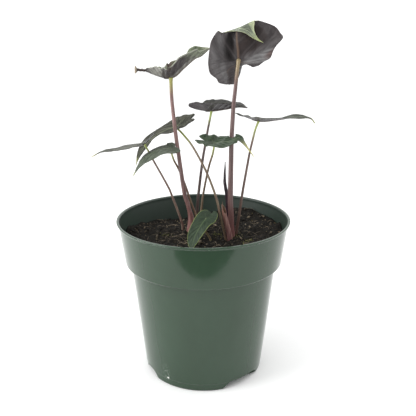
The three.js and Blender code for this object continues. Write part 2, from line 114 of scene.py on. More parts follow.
def rangeNode(tree, value, low, high, start=0.0, end=1.0):
    node = tree.nodes.new('ShaderNodeMapRange')
    node.interpolation_type = 'SMOOTHSTEP'
    feed(tree, value, node.inputs['Value'])
    feed(tree, low, node.inputs['From Min'])
    feed(tree, high, node.inputs['From Max'])
    feed(tree, start, node.inputs['To Min'])
    feed(tree, end, node.inputs['To Max'])
    return node.outputs['Result']


def mixNode(tree, share, a, b):
    node = tree.nodes.new('ShaderNodeMix')
    node.data_type = 'RGBA'
    feed(tree, share, node.inputs[0])
    feed(tree, a, node.inputs[6])
    feed(tree, b, node.inputs[7])
    return node.outputs[2]


def noiseNode(tree, vector, scale, detail=3.0, roughness=0.55, distortion=0.0):
    node = tree.nodes.new('ShaderNodeTexNoise')
    feed(tree, vector, node.inputs['Vector'])
    node.inputs['Scale'].default_value = scale
    node.inputs['Detail'].default_value = detail
    node.inputs['Roughness'].default_value = roughness
    node.inputs['Distortion'].default_value = distortion
    return node.outputs['Fac']


def objectPlace(tree, scale=(1, 1, 1)):
    place = tree.nodes.new('ShaderNodeTexCoord')
    mapping = tree.nodes.new('ShaderNodeMapping')
    mapping.inputs['Scale'].default_value = scale
    tree.links.new(place.outputs['Object'], mapping.inputs['Vector'])
    return mapping.outputs['Vector']


def attributeNode(tree, name):
    node = tree.nodes.new('ShaderNodeAttribute')
    node.attribute_name = name
    return node.outputs['Fac']


def axisOf(tree, vector, axis):
    node = tree.nodes.new('ShaderNodeSeparateXYZ')
    tree.links.new(vector, node.inputs[0])
    return node.outputs[axis]


def bumpNode(tree, height, depth):
    node = tree.nodes.new('ShaderNodeBump')
    node.inputs['Strength'].default_value = 1.0
    node.inputs['Distance'].default_value = depth
    feed(tree, height, node.inputs['Height'])
    return node.outputs['Normal']


def newMaterial(name, roughness, specular=0.5):
    material = bpy.data.materials.new(name)
    material.use_nodes = True
    tree = material.node_tree
    shader = tree.nodes['Principled BSDF']
    shader.inputs['Roughness'].default_value = roughness
    shader.inputs['Specular IOR Level'].default_value = specular
    return material, tree, shader


def newGroup(name, vectorInputs, numberInputs, outputs):
    group = bpy.data.node_groups.new(name, 'ShaderNodeTree')
    for label in vectorInputs:
        group.interface.new_socket(name=label, in_out='INPUT', socket_type='NodeSocketVector')
    for label, value in numberInputs.items():
        socket = group.interface.new_socket(name=label, in_out='INPUT', socket_type='NodeSocketFloat')
        socket.default_value = value
    for label in outputs:
        group.interface.new_socket(name=label, in_out='OUTPUT', socket_type='NodeSocketFloat')
    return group, group.nodes.new('NodeGroupInput').outputs, group.nodes.new('NodeGroupOutput').inputs


def groupNode(tree, group, **values):
    node = tree.nodes.new('ShaderNodeGroup')
    node.node_tree = group
    for label, value in values.items():
        feed(tree, value, node.inputs[label])
    return node.outputs


# Veins of a blade from its own map: U runs across, 0.5 on the midrib, and V runs along, 0.5 at the stalk
def makeVeinGroup():
    group, given, wanted = newGroup(
        'leaf veins', ['Map'], {'Count': 7.0, 'Slope': 0.35, 'Width': 0.12, 'Rib': 0.1},
        ['Veins', 'Midrib', 'Margin', 'Along', 'Pleats', 'Streaks'])
    across = axisOf(group, given['Map'], 0)
    along = axisOf(group, given['Map'], 1)
    margin = sumNode(group, 'ABSOLUTE', sumNode(group, 'MULTIPLY_ADD', across, 2.0, -1.0))
    fromStalk = sumNode(group, 'ABSOLUTE', sumNode(group, 'MULTIPLY_ADD', along, 2.0, -1.0))
    # Side veins leave the midrib at even places and slant towards the tip
    slanted = sumNode(group, 'SUBTRACT', fromStalk, sumNode(group, 'MULTIPLY', margin, given['Slope']))
    place = sumNode(group, 'MULTIPLY', slanted, given['Count'])
    offset = sumNode(group, 'ABSOLUTE', sumNode(group, 'SUBTRACT', sumNode(group, 'FRACT', place), 0.5))
    distance = sumNode(group, 'SUBTRACT', 0.5, offset)
    veins = rangeNode(group, distance, 0.0, given['Width'], 1.0, 0.0)
    pleats = sumNode(group, 'COSINE', sumNode(group, 'MULTIPLY', place, 2 * math.pi))
    # One midrib ahead of the stalk, and a fainter vein in each back lobe
    ahead = rangeNode(group, along, 0.46, 0.5)
    midrib = sumNode(group, 'MULTIPLY', rangeNode(group, margin, 0.01, given['Rib'], 1.0, 0.0), ahead)
    lobeVein = rangeNode(group, along, 0.28, 0.5, 0.45, 0.0)
    fromLobeVein = sumNode(group, 'ABSOLUTE', sumNode(group, 'SUBTRACT', margin, lobeVein))
    lobes = sumNode(group, 'MULTIPLY', rangeNode(group, fromLobeVein, 0.005, given['Rib'], 0.6, 0.0),
                    rangeNode(group, along, 0.12, 0.48))
    behind = sumNode(group, 'MULTIPLY', lobes, sumNode(group, 'SUBTRACT', 1.0, ahead))
    # Streaks of tone follow the side veins
    stretched = group.nodes.new('ShaderNodeCombineXYZ')
    feed(group, place, stretched.inputs[0])
    feed(group, sumNode(group, 'MULTIPLY', across, 1.6), stretched.inputs[1])
    feed(group, sumNode(group, 'MULTIPLY', along, 2.0), stretched.inputs[2])
    streaks = noiseNode(group, stretched.outputs[0], 2.4, 4.0, 0.62, 0.25)
    results = {'Veins': veins, 'Midrib': sumNode(group, 'ADD', midrib, behind), 'Margin': margin,
               'Along': along, 'Pleats': pleats, 'Streaks': streaks}
    for label, result in results.items():
        group.links.new(result, wanted[label])
    return group


# A soft-edged patch round a middle, with an uneven border
def makePatchGroup():
    group, given, wanted = newGroup('soft patch', ['Map', 'Middle', 'Reach'],
                                    {'Wobble': 0.5, 'Softness': 0.5}, ['Mask'])
    offset = given['Map']
    steps = (('SUBTRACT', given['Middle']), ('DIVIDE', given['Reach']), ('LENGTH', None))
    for operation, socket in steps:
        step = group.nodes.new('ShaderNodeVectorMath')
        step.operation = operation
        group.links.new(offset, step.inputs[0])
        if socket:
            group.links.new(socket, step.inputs[1])
        offset = step.outputs['Value' if operation == 'LENGTH' else 'Vector']
    uneven = sumNode(group, 'SUBTRACT', noiseNode(group, given['Map'], 9.0, 3.0, 0.6), 0.5)
    wobble = sumNode(group, 'MULTIPLY', given['Wobble'], 2.0)
    distance = sumNode(group, 'MULTIPLY_ADD', uneven, wobble, offset)
    start = sumNode(group, 'SUBTRACT', 1.0, given['Softness'])
    group.links.new(rangeNode(group, distance, start, 1.1, 1.0, 0.0), wanted['Mask'])
    return group


# Soft patches and a finer grain for plastic, peat, litter and leaves, each at its own scale
def makeMottleGroup():
    group, given, wanted = newGroup('mottle', ['Vector'], {'Low': 0.35, 'High': 0.65}, ['Patches', 'Grain'])
    large = noiseNode(group, given['Vector'], 1.0, 4.0, 0.6, 0.3)
    small = noiseNode(group, given['Vector'], 7.0, 2.0, 0.7)
    group.links.new(rangeNode(group, large, given['Low'], given['High']), wanted['Patches'])
    group.links.new(small, wanted['Grain'])
    return group


# Strands that run up the stalks, the rolled leaf and the sheath
def makeStrandGroup():
    group, given, wanted = newGroup('strands', ['Vector'], {'Detail': 3.0}, ['Strands'])
    strands = noiseNode(group, given['Vector'], 1.0)
    feed(group, given['Detail'], strands.node.inputs['Detail'])
    group.links.new(strands, wanted['Strands'])
    return group


def strandNode(tree, across, along, detail):
    place = objectPlace(tree, (across, across, along))
    return groupNode(tree, strandGroup, Vector=place, Detail=detail)['Strands']


veinGroup = makeVeinGroup()
patchGroup = makePatchGroup()
mottleGroup = makeMottleGroup()
strandGroup = makeStrandGroup()
print('shared node groups made')


# Camera, floor and light, in metres
studio = {
    'cameraPlace': (0.0041, -0.506, 0.3115),
    'cameraPitch': 17.35,  # degrees down
    'lens': 51.06,
    'sensor': 36,
    'floorSize': 8.0,
    'floorDrop': 0.0002,  # just under the pot's foot
    'floorColour': (0.92, 0.92, 0.92),
    'worldStrength': 1.3,
    'frontShade': 0.3,  # brightness of the room behind the camera
    'keyPower': 13.0,
    'keyPlace': (-1.1, -0.35, 0.75),
    'keySize': 0.9,
    'fillPower': 3.0,
    'fillPlace': (0.9, 0.3, 0.9),
    'fillSize': 0.9,
    'lightAim': (0, 0, 0.12),
    'gapWidth': (-0.15, 0.17),  # a dark gap in the floor in front, seen only in reflections
    'gapDepth': (-0.9, -0.21),
    'gapHeight': 0.001,
    'gapColour': (0.2, 0.2, 0.2),
}


def makeCamera():
    data = bpy.data.cameras.new('camera')
    data.sensor_width = studio['sensor']
    data.lens = studio['lens']
    camera = bpy.data.objects.new('camera', data)
    camera.location = studio['cameraPlace']
    camera.rotation_euler = (math.radians(90 - studio['cameraPitch']), 0, 0)
    bpy.context.collection.objects.link(camera)
    bpy.context.scene.camera = camera


def flatMesh(name, left, right, front, back, height):
    bm = bmesh.new()
    bmesh.ops.create_grid(bm, x_segments=1, y_segments=1, size=0.5)
    bmesh.ops.scale(bm, vec=(right - left, back - front, 1), verts=bm.verts)
    bmesh.ops.translate(bm, vec=((left + right) / 2, (front + back) / 2, height), verts=bm.verts)
    mesh = bpy.data.meshes.new(name)
    bm.to_mesh(mesh)
    bm.free()
    flat = bpy.data.objects.new(name, mesh)
    bpy.context.collection.objects.link(flat)
    return flat


def makeFloor():
    half = studio['floorSize'] / 2
    floor = flatMesh('floor', -half, half, -half, half, -studio['floorDrop'])
    material, tree, shader = newMaterial('white card', 0.9, 0.1)
    grain = noiseNode(tree, objectPlace(tree), 120.0, 2.0)
    pale = studio['floorColour']
    feed(tree, mixNode(tree, grain, pale, tuple(c * 0.985 for c in pale)), shader.inputs['Base Color'])
    floor.data.materials.append(material)


def makeGap():
    left, right = studio['gapWidth']
    front, back = studio['gapDepth']
    gap = flatMesh('dark gap', left, right, front, back, studio['gapHeight'])
    material, tree, shader = newMaterial('dark gap', 1.0, 0.0)
    feed(tree, studio['gapColour'], shader.inputs['Base Color'])
    gap.data.materials.append(material)
    gap.visible_camera = False
    gap.visible_diffuse = False
    gap.visible_shadow = False
    gap.visible_transmission = False


def makeWorld():
    world = bpy.data.worlds.new('white room')
    bpy.context.scene.world = world
    world.use_nodes = True
    tree = world.node_tree
    background = tree.nodes['Background']
    place = tree.nodes.new('ShaderNodeTexCoord')
    towardsFront = sumNode(tree, 'MULTIPLY', axisOf(tree, place.outputs['Generated'], 1), -1.0)
    front = rangeNode(tree, towardsFront, 0.55, 0.95)
    seen = tree.nodes.new('ShaderNodeLightPath').outputs['Is Camera Ray']
    shaded = sumNode(tree, 'MULTIPLY', front, sumNode(tree, 'SUBTRACT', 1.0, seen))
    shade = studio['frontShade']
    feed(tree, mixNode(tree, shaded, (1.0, 1.0, 1.0), (shade, shade, shade)), background.inputs['Color'])
    background.inputs['Strength'].default_value = studio['worldStrength']


def makeLight(name, place, size, power):
    data = bpy.data.lights.new(name, 'AREA')
    data.shape = 'DISK'
    data.size = size
    data.energy = power
    light = bpy.data.objects.new(name, data)
    light.location = place
    aim = Vector(studio['lightAim']) - Vector(place)
    light.rotation_euler = aim.to_track_quat('-Z', 'Y').to_euler()
    bpy.context.collection.objects.link(light)


makeCamera()
makeFloor()
makeGap()
makeWorld()
makeLight('key light', studio['keyPlace'], studio['keySize'], studio['keyPower'])
makeLight('fill light', studio['fillPlace'], studio['fillSize'], studio['fillPower'])
bpy.context.scene.view_settings.view_transform = 'Standard'
print('camera, floor and light made')


# A finished bmesh as a piece of the object, standing for its CAD nodes
def addPiece(name, bm, nodes, materials, sharpAngle=None):
    mesh = bpy.data.meshes.new(name)
    bm.to_mesh(mesh)
    bm.free()
    for polygon in mesh.polygons:
        polygon.use_smooth = True
    if sharpAngle is not None:
        mesh.set_sharp_from_angle(angle=math.radians(sharpAngle))
    piece = bpy.data.objects.new(name, mesh)
    bpy.context.collection.objects.link(piece)
    for material in materials:
        mesh.materials.append(material)
    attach(piece, 'root')
    if nodes:
        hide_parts(*nodes)
    return piece


# Pot, in mm and degrees, with the places of its scuffs in metres
pot = {
    'height': 144.6,
    'lipRadius': 78.0,
    'lipWidth': 2.8,
    'lipDepth': 1.4,
    'collarTopRadius': 76.1,
    'collarTopHeight': 142.2,
    'collarFootRadius': 71.1,
    'collarFootHeight': 106.4,
    'bodyTopRadius': 65.9,
    'bodyTopHeight': 103.0,
    'ledgeDrop': 1.0,  # how far the ledge under the collar falls towards the body
    'baseRadius': 54.6,
    'wall': 1.7,
    'thinWall': 0.9,  # near the lip
    'floor': 2.0,
    'footLine': 6.4,  # a faint step round the foot, left by the mould
    'footStep': 0.35,
    'segments': 160,
    # Angle of each drain, and how far its recess reaches to either side. The one in front on the right
    # goes on to the side of the pot.
    'drains': ((-57, 13.5, 28.5), (123, 13.5, 13.5), (-153, 13.5, 13.5), (27, 13.5, 13.5)),
    'drainHeight': 6.9,
    'drainDepth': 9.0,
    'drainWall': 1.6,
    'slotLength': 11.0,
    'slotWidth': 3.4,
    'slotHeight': 12.0,
    'roomHeight': 20.0,  # the room inside the pot that the walls of a recess are kept to
    'roomSegments': 97,  # a prime, so that few of its edges line up with the pot's
    'colour': (0.0185, 0.043, 0.022),
    'faded': (0.023, 0.052, 0.028),
    'scuff': (0.3, 0.34, 0.3),
    'scuffPlace': (-0.033, -0.045, 0.013),
    'scuffReach': (0.006, 0.006, 0.012),
    'chip': (0.75, 0.76, 0.72),
    'chipPlace': (-0.0316, -0.0456, 0.008),  # a white chip in the scuffed place
    'chipReach': (0.0012, 0.0012, 0.001),
    'lining': (0.026, 0.042, 0.032),  # duller inside
    'liningRoughness': 0.3,  # more than outside
    'roughness': 0.1,
}


# Corners (radius, height, rounding) as a line with its corners rounded off. A point close to each
# rounding keeps the straight parts flat in the gloss.
def roundedLine(corners, steps=4, support=0.35, longSide=6, mostOfSide=0.4):
    line = []
    for i, (r, z, rounding) in enumerate(corners):
        here = Vector((r, z))
        if i in (0, len(corners) - 1):
            line.append(here)
            continue
        before = Vector(corners[i - 1][:2]) - here
        after = Vector(corners[i + 1][:2]) - here
        start = here + before.normalized() * min(rounding, before.length * mostOfSide)
        end = here + after.normalized() * min(rounding, after.length * mostOfSide)
        if before.length > longSide:
            line.append(start + before.normalized() * support)
        for step in range(steps + 1):
            t = step / steps
            line.append(start * (1 - t) ** 2 + here * 2 * t * (1 - t) + end * t ** 2)
        if after.length > longSide:
            line.append(end + after.normalized() * support)
    return line


# A closed shell spun from a line of radii and heights that starts and ends on the axis
def spunMesh(line, segments):
    bm = bmesh.new()
    verts = [bm.verts.new(Vector((r, 0, z)) * mm) for r, z in line]
    edges = [bm.edges.new(pair) for pair in zip(verts, verts[1:])]
    bmesh.ops.spin(bm, geom=verts + edges, cent=(0, 0, 0), axis=(0, 0, 1), angle=2 * math.pi,
                   steps=segments, use_merge=True, use_duplicate=False)
    bmesh.ops.remove_doubles(bm, verts=bm.verts, dist=1e-6)
    bmesh.ops.recalc_face_normals(bm, faces=bm.faces)
    return bm


# Corners of the outline, up outside from the middle of the foot and down inside from the lip
def potLine():
    p = pot
    slope = (p['bodyTopRadius'] - p['baseRadius']) / p['bodyTopHeight']
    footRadius = p['baseRadius'] + slope * p['footLine']
    bodyInside = p['bodyTopRadius'] - p['wall']
    collarInside = p['collarFootRadius'] - p['wall']
    lipInside = p['lipRadius'] - p['lipWidth']
    lipFoot = p['height'] - p['lipDepth']
    ledge = p['collarFootHeight'] - 0.7
    outside = [
        (0, 0, 0),
        (p['baseRadius'] - 0.2, 0, 1.6),
        (footRadius - p['footStep'], p['footLine'], 0.2),
        (footRadius, p['footLine'] + 0.5, 0.2),
        (p['bodyTopRadius'], p['bodyTopHeight'], 0.5),
        (p['bodyTopRadius'] + 0.7, ledge - p['ledgeDrop'] + 0.2, 0.4),
        (p['collarFootRadius'], ledge, 1.3),
        (p['collarTopRadius'], p['collarTopHeight'], 0.5),
        (p['lipRadius'] - 0.3, lipFoot, 0.5),
        (p['lipRadius'], p['height'], 0.8),
    ]
    inside = [
        (lipInside + 0.6, p['height'], 0.6),
        (lipInside, lipFoot + 0.2, 0.5),
        (p['collarTopRadius'] - p['thinWall'], p['collarTopHeight'] - 0.6, 0.6),
        (collarInside, ledge + 2.4, 1.0),
        (bodyInside + 0.6, ledge + 1.6, 0.6),
        (bodyInside, p['bodyTopHeight'], 0.6),
        (p['baseRadius'] - p['wall'], p['floor'] + 0.2, 1.0),
        (0, p['floor'], 0),
    ]
    return roundedLine(outside + inside)


# Radius of the collar's inner side at a height
def wallInside(z):
    share = (z - pot['collarFootHeight']) / (pot['collarTopHeight'] - pot['collarFootHeight'])
    return mix(pot['collarFootRadius'] - pot['wall'], pot['collarTopRadius'] - pot['thinWall'], share)


# Turns a tool that was made at the back, on +Y, round to the angle of its drain
def turnToDrain(bm, angle):
    turn = Matrix.Rotation(math.radians(angle - 90), 3, 'Z')
    bmesh.ops.rotate(bm, cent=(0, 0, 0), matrix=turn, verts=bm.verts)


# A drain recess as a block that reaches out past the pot, wider and higher by margin
def drainBlock(drain, margin):
    angle, near, far = drain
    near += margin
    far += margin
    top = pot['drainHeight'] + margin
    under = -2  # starts under the foot
    arch = [(1.0, 0.04), (0.86, 0.34), (0.7, 0.66), (0.5, 0.9), (0.26, 1.0)]
    outline = [(-far, under), (near, under), *[(near * x, top * z) for x, z in arch],
               *[(near * (1 - x) - far, top * z) for x, z in reversed(arch)]]
    inner = pot['baseRadius'] - pot['drainDepth'] - margin
    bm = bmesh.new()
    verts = [bm.verts.new(Vector((x, inner, z)) * mm) for x, z in outline]
    face = bm.faces.new(verts)
    made = bmesh.ops.extrude_face_region(bm, geom=[face])['geom']
    reach = (pot['lipRadius'] - inner) * mm
    outer = [item for item in made if isinstance(item, bmesh.types.BMVert)]
    bmesh.ops.translate(bm, vec=(0, reach, 0), verts=outer)
    bmesh.ops.recalc_face_normals(bm, faces=bm.faces)
    turnToDrain(bm, angle)
    return bm


# The slot through the roof of a recess
def drainSlot(angle):
    bm = bmesh.new()
    bmesh.ops.create_cube(bm, size=1)
    size = Vector((pot['slotLength'], pot['slotWidth'], pot['slotHeight'])) * mm
    bmesh.ops.scale(bm, vec=size, verts=bm.verts)
    out = pot['baseRadius'] - pot['wall'] - pot['slotWidth'] / 2 + 0.2
    bmesh.ops.translate(bm, vec=Vector((0, out, pot['drainHeight'] + 2)) * mm, verts=bm.verts)
    turnToDrain(bm, angle)
    return bm


# Joins or cuts one solid with others and gives back the finished bmesh
def shaped(bm, steps):
    mesh = bpy.data.meshes.new('shape')
    bm.to_mesh(mesh)
    bm.free()
    body = bpy.data.objects.new('shape', mesh)
    bpy.context.collection.objects.link(body)
    tools = []
    for operation, toolShape in steps:
        toolMesh = bpy.data.meshes.new('tool')
        toolShape.to_mesh(toolMesh)
        toolShape.free()
        tool = bpy.data.objects.new('tool', toolMesh)
        bpy.context.collection.objects.link(tool)
        cut = body.modifiers.new('cut', 'BOOLEAN')
        cut.operation = operation
        cut.solver = 'EXACT'
        cut.object = tool
        tools.append(tool)
    result = bmesh.new()
    result.from_object(body, bpy.context.evaluated_depsgraph_get())
    for thing in [body, *tools]:
        bpy.data.objects.remove(thing)
    return result


def potMesh():
    base = pot['baseRadius']
    roomLine = [(0, 0), (base - 1, 0), (base + 0.6, pot['roomHeight']), (0, pot['roomHeight'])]
    steps = []
    for drain in pot['drains']:
        room = spunMesh(roomLine, pot['roomSegments'])
        pocket = shaped(drainBlock(drain, pot['drainWall']), [('INTERSECT', room)])
        steps.append(('UNION', pocket))
        steps.append(('DIFFERENCE', drainBlock(drain, 0)))
        steps.append(('DIFFERENCE', drainSlot(drain[0])))
    bm = shaped(spunMesh(potLine(), pot['segments']), steps)
    bmesh.ops.remove_doubles(bm, verts=bm.verts, dist=1e-6)
    inside = bm.verts.layers.float.new('inside')
    slope = (pot['lipRadius'] - base) / pot['height']
    for vert in bm.verts:
        radius, z = vert.co.xy.length / mm, vert.co.z / mm
        inCollar = z > pot['collarFootHeight'] and radius < wallInside(z) + 0.5
        inBody = z > 1 and radius < base - 1.2 + slope * z * 0.5
        vert[inside] = 1.0 if inCollar or inBody else 0.0
    return bm


def potPlastic():
    material, tree, shader = newMaterial('green plastic', pot['roughness'])
    mottle = groupNode(tree, mottleGroup, Vector=objectPlace(tree, (14, 14, 9)), Low=0.3, High=0.7)
    colour = mixNode(tree, mottle['Patches'], pot['colour'], pot['faded'])
    place = objectPlace(tree)
    scuffed = groupNode(tree, patchGroup, Map=place, Middle=pot['scuffPlace'], Reach=pot['scuffReach'],
                        Wobble=0.2, Softness=0.7)['Mask']
    specks = noiseNode(tree, objectPlace(tree, (900, 900, 700)), 1.0, 2.0, 0.6)
    marks = sumNode(tree, 'MULTIPLY', rangeNode(tree, specks, 0.56, 0.7, 0.0, 0.6), scuffed)
    chipped = groupNode(tree, patchGroup, Map=place, Middle=pot['chipPlace'], Reach=pot['chipReach'],
                        Wobble=0.1, Softness=0.3)['Mask']
    colour = mixNode(tree, marks, colour, pot['scuff'])
    colour = mixNode(tree, chipped, colour, pot['chip'])
    lining = attributeNode(tree, 'inside')
    feed(tree, mixNode(tree, lining, colour, pot['lining']), shader.inputs['Base Color'])
    rough = rangeNode(tree, mottle['Grain'], 0.2, 0.8, pot['roughness'] - 0.03, pot['roughness'] + 0.05)
    rougher = sumNode(tree, 'MULTIPLY_ADD', lining, pot['liningRoughness'], rough)
    feed(tree, rougher, shader.inputs['Roughness'])
    feed(tree, bumpNode(tree, mottle['Grain'], 0.00004), shader.inputs['Normal'])
    return material


addPiece('nursery_pot', potMesh(), ['pot'], [potPlastic()], 32)
print('pot made')


# Stalks, the new leaf and the old sheath: round sections swept along a path
stalkValues = {
    'foot': 113.0,  # below the top of the peat
    'sides': 16,
    'ringSpacing': 1.6,
    'flareLength': 0.22,  # as a share of the stalk
    'flarePower': 2,
    'ridgeCount': 5,
    'ridgeDepth': 0.05,
    'topSwelling': 0.3,
    'swellingRange': (0.965, 0.995),
    'roughness': 0.36,
    'fleck': (0.45, 0.4, 0.34),
}


def stalkPath(points, top=None):
    first = points[0]
    path = [(first[0], first[1], stalkValues['foot']), *points]
    if top:
        path.append(top)
    return vectors(path)


# The value of t at an even share of a curve's length
def evenShare(path, share, count=60):
    places, _ = evenPlaces(path, count)
    spot = share * count
    i = min(int(spot), count - 1)
    return mix(places[i], places[i + 1], spot - i)


# The swept section as a closed tube, with how far along each ring lies kept for its material
def sweptMesh(path, radiusAt, sides, spacing, ridges=0.0, fewestRings=6):
    _, length = evenPlaces(path, 1)
    rings = max(fewestRings, round(length / (spacing * mm)))
    places, _ = evenPlaces(path, rings)
    bm = bmesh.new()
    along = bm.verts.layers.float.new('along')
    start = curveDirection(path, 0)
    across = start.orthogonal().normalized()
    frames = []
    for t in places:
        direction = curveDirection(path, t)
        across = (across - direction * across.dot(direction)).normalized()
        turn = Matrix((across, direction.cross(across), direction)).transposed().to_4x4()
        frames.append(Matrix.Translation(curvePoint(path, t)) @ turn)
    ring = bmesh.ops.create_circle(bm, segments=sides, radius=1, cap_ends=True)['verts']
    if ridges:
        for vert in ring:
            vert.co *= 1 + ridges * math.cos(stalkValues['ridgeCount'] * math.atan2(vert.co.y, vert.co.x))
    edges = list({edge for vert in ring for edge in vert.link_edges})
    before = Matrix.Identity(4)
    for i, frameAt in enumerate(frames):
        radius = radiusAt(i / rings) * mm
        after = frameAt @ Matrix.Diagonal((radius, radius, radius, 1))
        if i > 0:
            made = bmesh.ops.extrude_edge_only(bm, edges=edges)['geom']
            ring = [item for item in made if isinstance(item, bmesh.types.BMVert)]
            edges = [item for item in made if isinstance(item, bmesh.types.BMEdge)]
        bmesh.ops.transform(bm, matrix=after @ before.inverted(), verts=ring)
        for vert in ring:
            vert[along] = i / rings
        before = after
    bmesh.ops.holes_fill(bm, edges=edges, sides=0)
    bmesh.ops.recalc_face_normals(bm, faces=bm.faces)
    return bm


def stalkRadius(radii, flarePower, share):
    top, middle, foot = radii
    flare = max(0, 1 - share / stalkValues['flareLength']) ** flarePower
    swelling = 1 + stalkValues['topSwelling'] * smoothStep(share, *stalkValues['swellingRange'])
    return (top + (middle - top) * (1 - share) + (foot - middle) * flare) * swelling


def stalkSkin(name, look):
    material, tree, shader = newMaterial(name, stalkValues['roughness'])
    along = attributeNode(tree, 'along')
    streaks = strandNode(tree, 900, 45, 3.0)
    flecks = strandNode(tree, 2600, 700, 1.0)
    colour = mixNode(tree, rangeNode(tree, along, 0.02, 0.4), look['foot'], look['middle'])
    colour = mixNode(tree, rangeNode(tree, streaks, 0.42, 0.66), colour, look['streak'])
    colour = mixNode(tree, rangeNode(tree, along, *look['green']), colour, look['top'])
    colour = mixNode(tree, rangeNode(tree, flecks, 0.62, 0.75, 0.0, 0.25), colour, stalkValues['fleck'])
    feed(tree, colour, shader.inputs['Base Color'])
    feed(tree, bumpNode(tree, streaks, 0.00025), shader.inputs['Normal'])
    return material


# Tones of each stalk, and where along it the tone of its top begins and is full
stalkLooks = {
    'folded_leaf': {
        'foot': (0.2, 0.08, 0.075), 'middle': (0.105, 0.06, 0.056), 'streak': (0.17, 0.105, 0.1),
        'top': (0.25, 0.19, 0.1), 'green': (0.86, 0.98)},
    'curled_leaf': {
        'foot': (0.2, 0.075, 0.065), 'middle': (0.16, 0.088, 0.08), 'streak': (0.28, 0.17, 0.16),
        'top': (0.3, 0.3, 0.075), 'green': (0.88, 0.99)},
    'back_leaf': {
        'foot': (0.05, 0.03, 0.03), 'middle': (0.1, 0.068, 0.062), 'streak': (0.15, 0.11, 0.1),
        'top': (0.36, 0.44, 0.13), 'green': (0.88, 0.98)},
    'right_leaf': {
        'foot': (0.12, 0.065, 0.055), 'middle': (0.11, 0.066, 0.052), 'streak': (0.17, 0.11, 0.09),
        'top': (0.36, 0.42, 0.12), 'green': (0.82, 0.97)},
    'far_left_leaf': {
        'foot': (0.12, 0.065, 0.055), 'middle': (0.2, 0.13, 0.105), 'streak': (0.28, 0.2, 0.16),
        'top': (0.4, 0.47, 0.14), 'green': (0.86, 0.97)},
    'left_leaf': {
        'foot': (0.13, 0.075, 0.055), 'middle': (0.13, 0.088, 0.06), 'streak': (0.19, 0.15, 0.09),
        'top': (0.42, 0.49, 0.13), 'green': (0.76, 0.95)},
    'low_left_leaf': {
        'foot': (0.14, 0.075, 0.055), 'middle': (0.19, 0.118, 0.08), 'streak': (0.26, 0.19, 0.12),
        'top': (0.5, 0.55, 0.22), 'green': (0.84, 0.96)},
    'centre_leaf': {
        'foot': (0.14, 0.085, 0.045), 'middle': (0.14, 0.1, 0.065), 'streak': (0.2, 0.15, 0.1),
        'top': (0.38, 0.44, 0.13), 'green': (0.78, 0.96)},
    'small_leaf': {
        'foot': (0.12, 0.085, 0.045), 'middle': (0.14, 0.105, 0.055), 'streak': (0.2, 0.16, 0.09),
        'top': (0.17, 0.2, 0.08), 'green': (0.6, 1.0)},
}


def makeStalk(name, leaf, top):
    flarePower = leaf.get('flarePower', stalkValues['flarePower'])
    path = stalkPath(leaf['stalk'], top)
    bm = sweptMesh(path, lambda share: stalkRadius(leaf['radii'], flarePower, share),
                   stalkValues['sides'], stalkValues['ringSpacing'], stalkValues['ridgeDepth'])
    skin = stalkSkin(name + ' stalk skin', stalkLooks[name])
    addPiece(name + '_petiole', bm, [name + '_stalk'], [skin])


# Soil: dark peat that fills the pot, with its own lumps, in mm
soil = {
    'height': 124.5,
    'slope': (0.02, 0.035),  # rise per mm to the right and to the back
    'lumps': 0.54,
    # Mounds and hollows: x, y, reach and rise
    'mounds': [(-70, 15, 22, 4.5), (-25, 68, 26, -6), (44, 60, 22, 6.5), (68, 14, 30, 5.5),
               (27, -6, 10, 1)],
    'coarse': 1.5,
    'fine': 1.6,
    'side': 0.4,  # clear of the pot's wall
    'gap': 0.3,  # clear of its floor and drains
    'segments': 200,
    'rings': 88,
    'peat': (0.01, 0.009, 0.0072),
    'peatBrown': (0.022, 0.0185, 0.0135),
    'peatPale': (0.045, 0.038, 0.027),
    'roughness': 0.95,
    'seed': 11,
}

# Bits that lie on the peat, in mm: lift is how high their middle stands over it, as a share of their size.
# Tints run from 0, dark, to 1, pale.
litter = {
    'bark_chips': {
        'count': 1000, 'size': (0.7, 2.6), 'shape': (1, 0.55, 0.4), 'tints': (0, 1), 'lift': 0.1,
        'skin': 'bark', 'dark': (0.011, 0.0095, 0.0075), 'pale': (0.34, 0.275, 0.19), 'roughness': 0.9,
    },
    'moss_flecks': {
        'count': 182, 'size': (0.3, 0.7), 'shape': (1, 0.8, 0.8), 'tints': (0.1, 1), 'lift': 0.6,
        'spots': [(11.5, 4.6), (13.5, 6), (-33, 10), (-37, 8), (38.8, -13.6), (41, -11), (30, -2)],
        'spread': 2.6,
        'skin': 'moss', 'dark': (0.065, 0.068, 0.02), 'pale': (0.33, 0.33, 0.11), 'roughness': 0.9,
    },
    'pale_grains': {
        'count': 170, 'size': (0.3, 0.75), 'shape': (1, 0.85, 0.7), 'tints': (0.25, 1), 'lift': 0.5,
        'skin': 'grains', 'dark': (0.12, 0.09, 0.03), 'pale': (0.5, 0.44, 0.32), 'roughness': 0.8,
    },
}
litterTilt = 0.6
litterUnevenness = 0.22

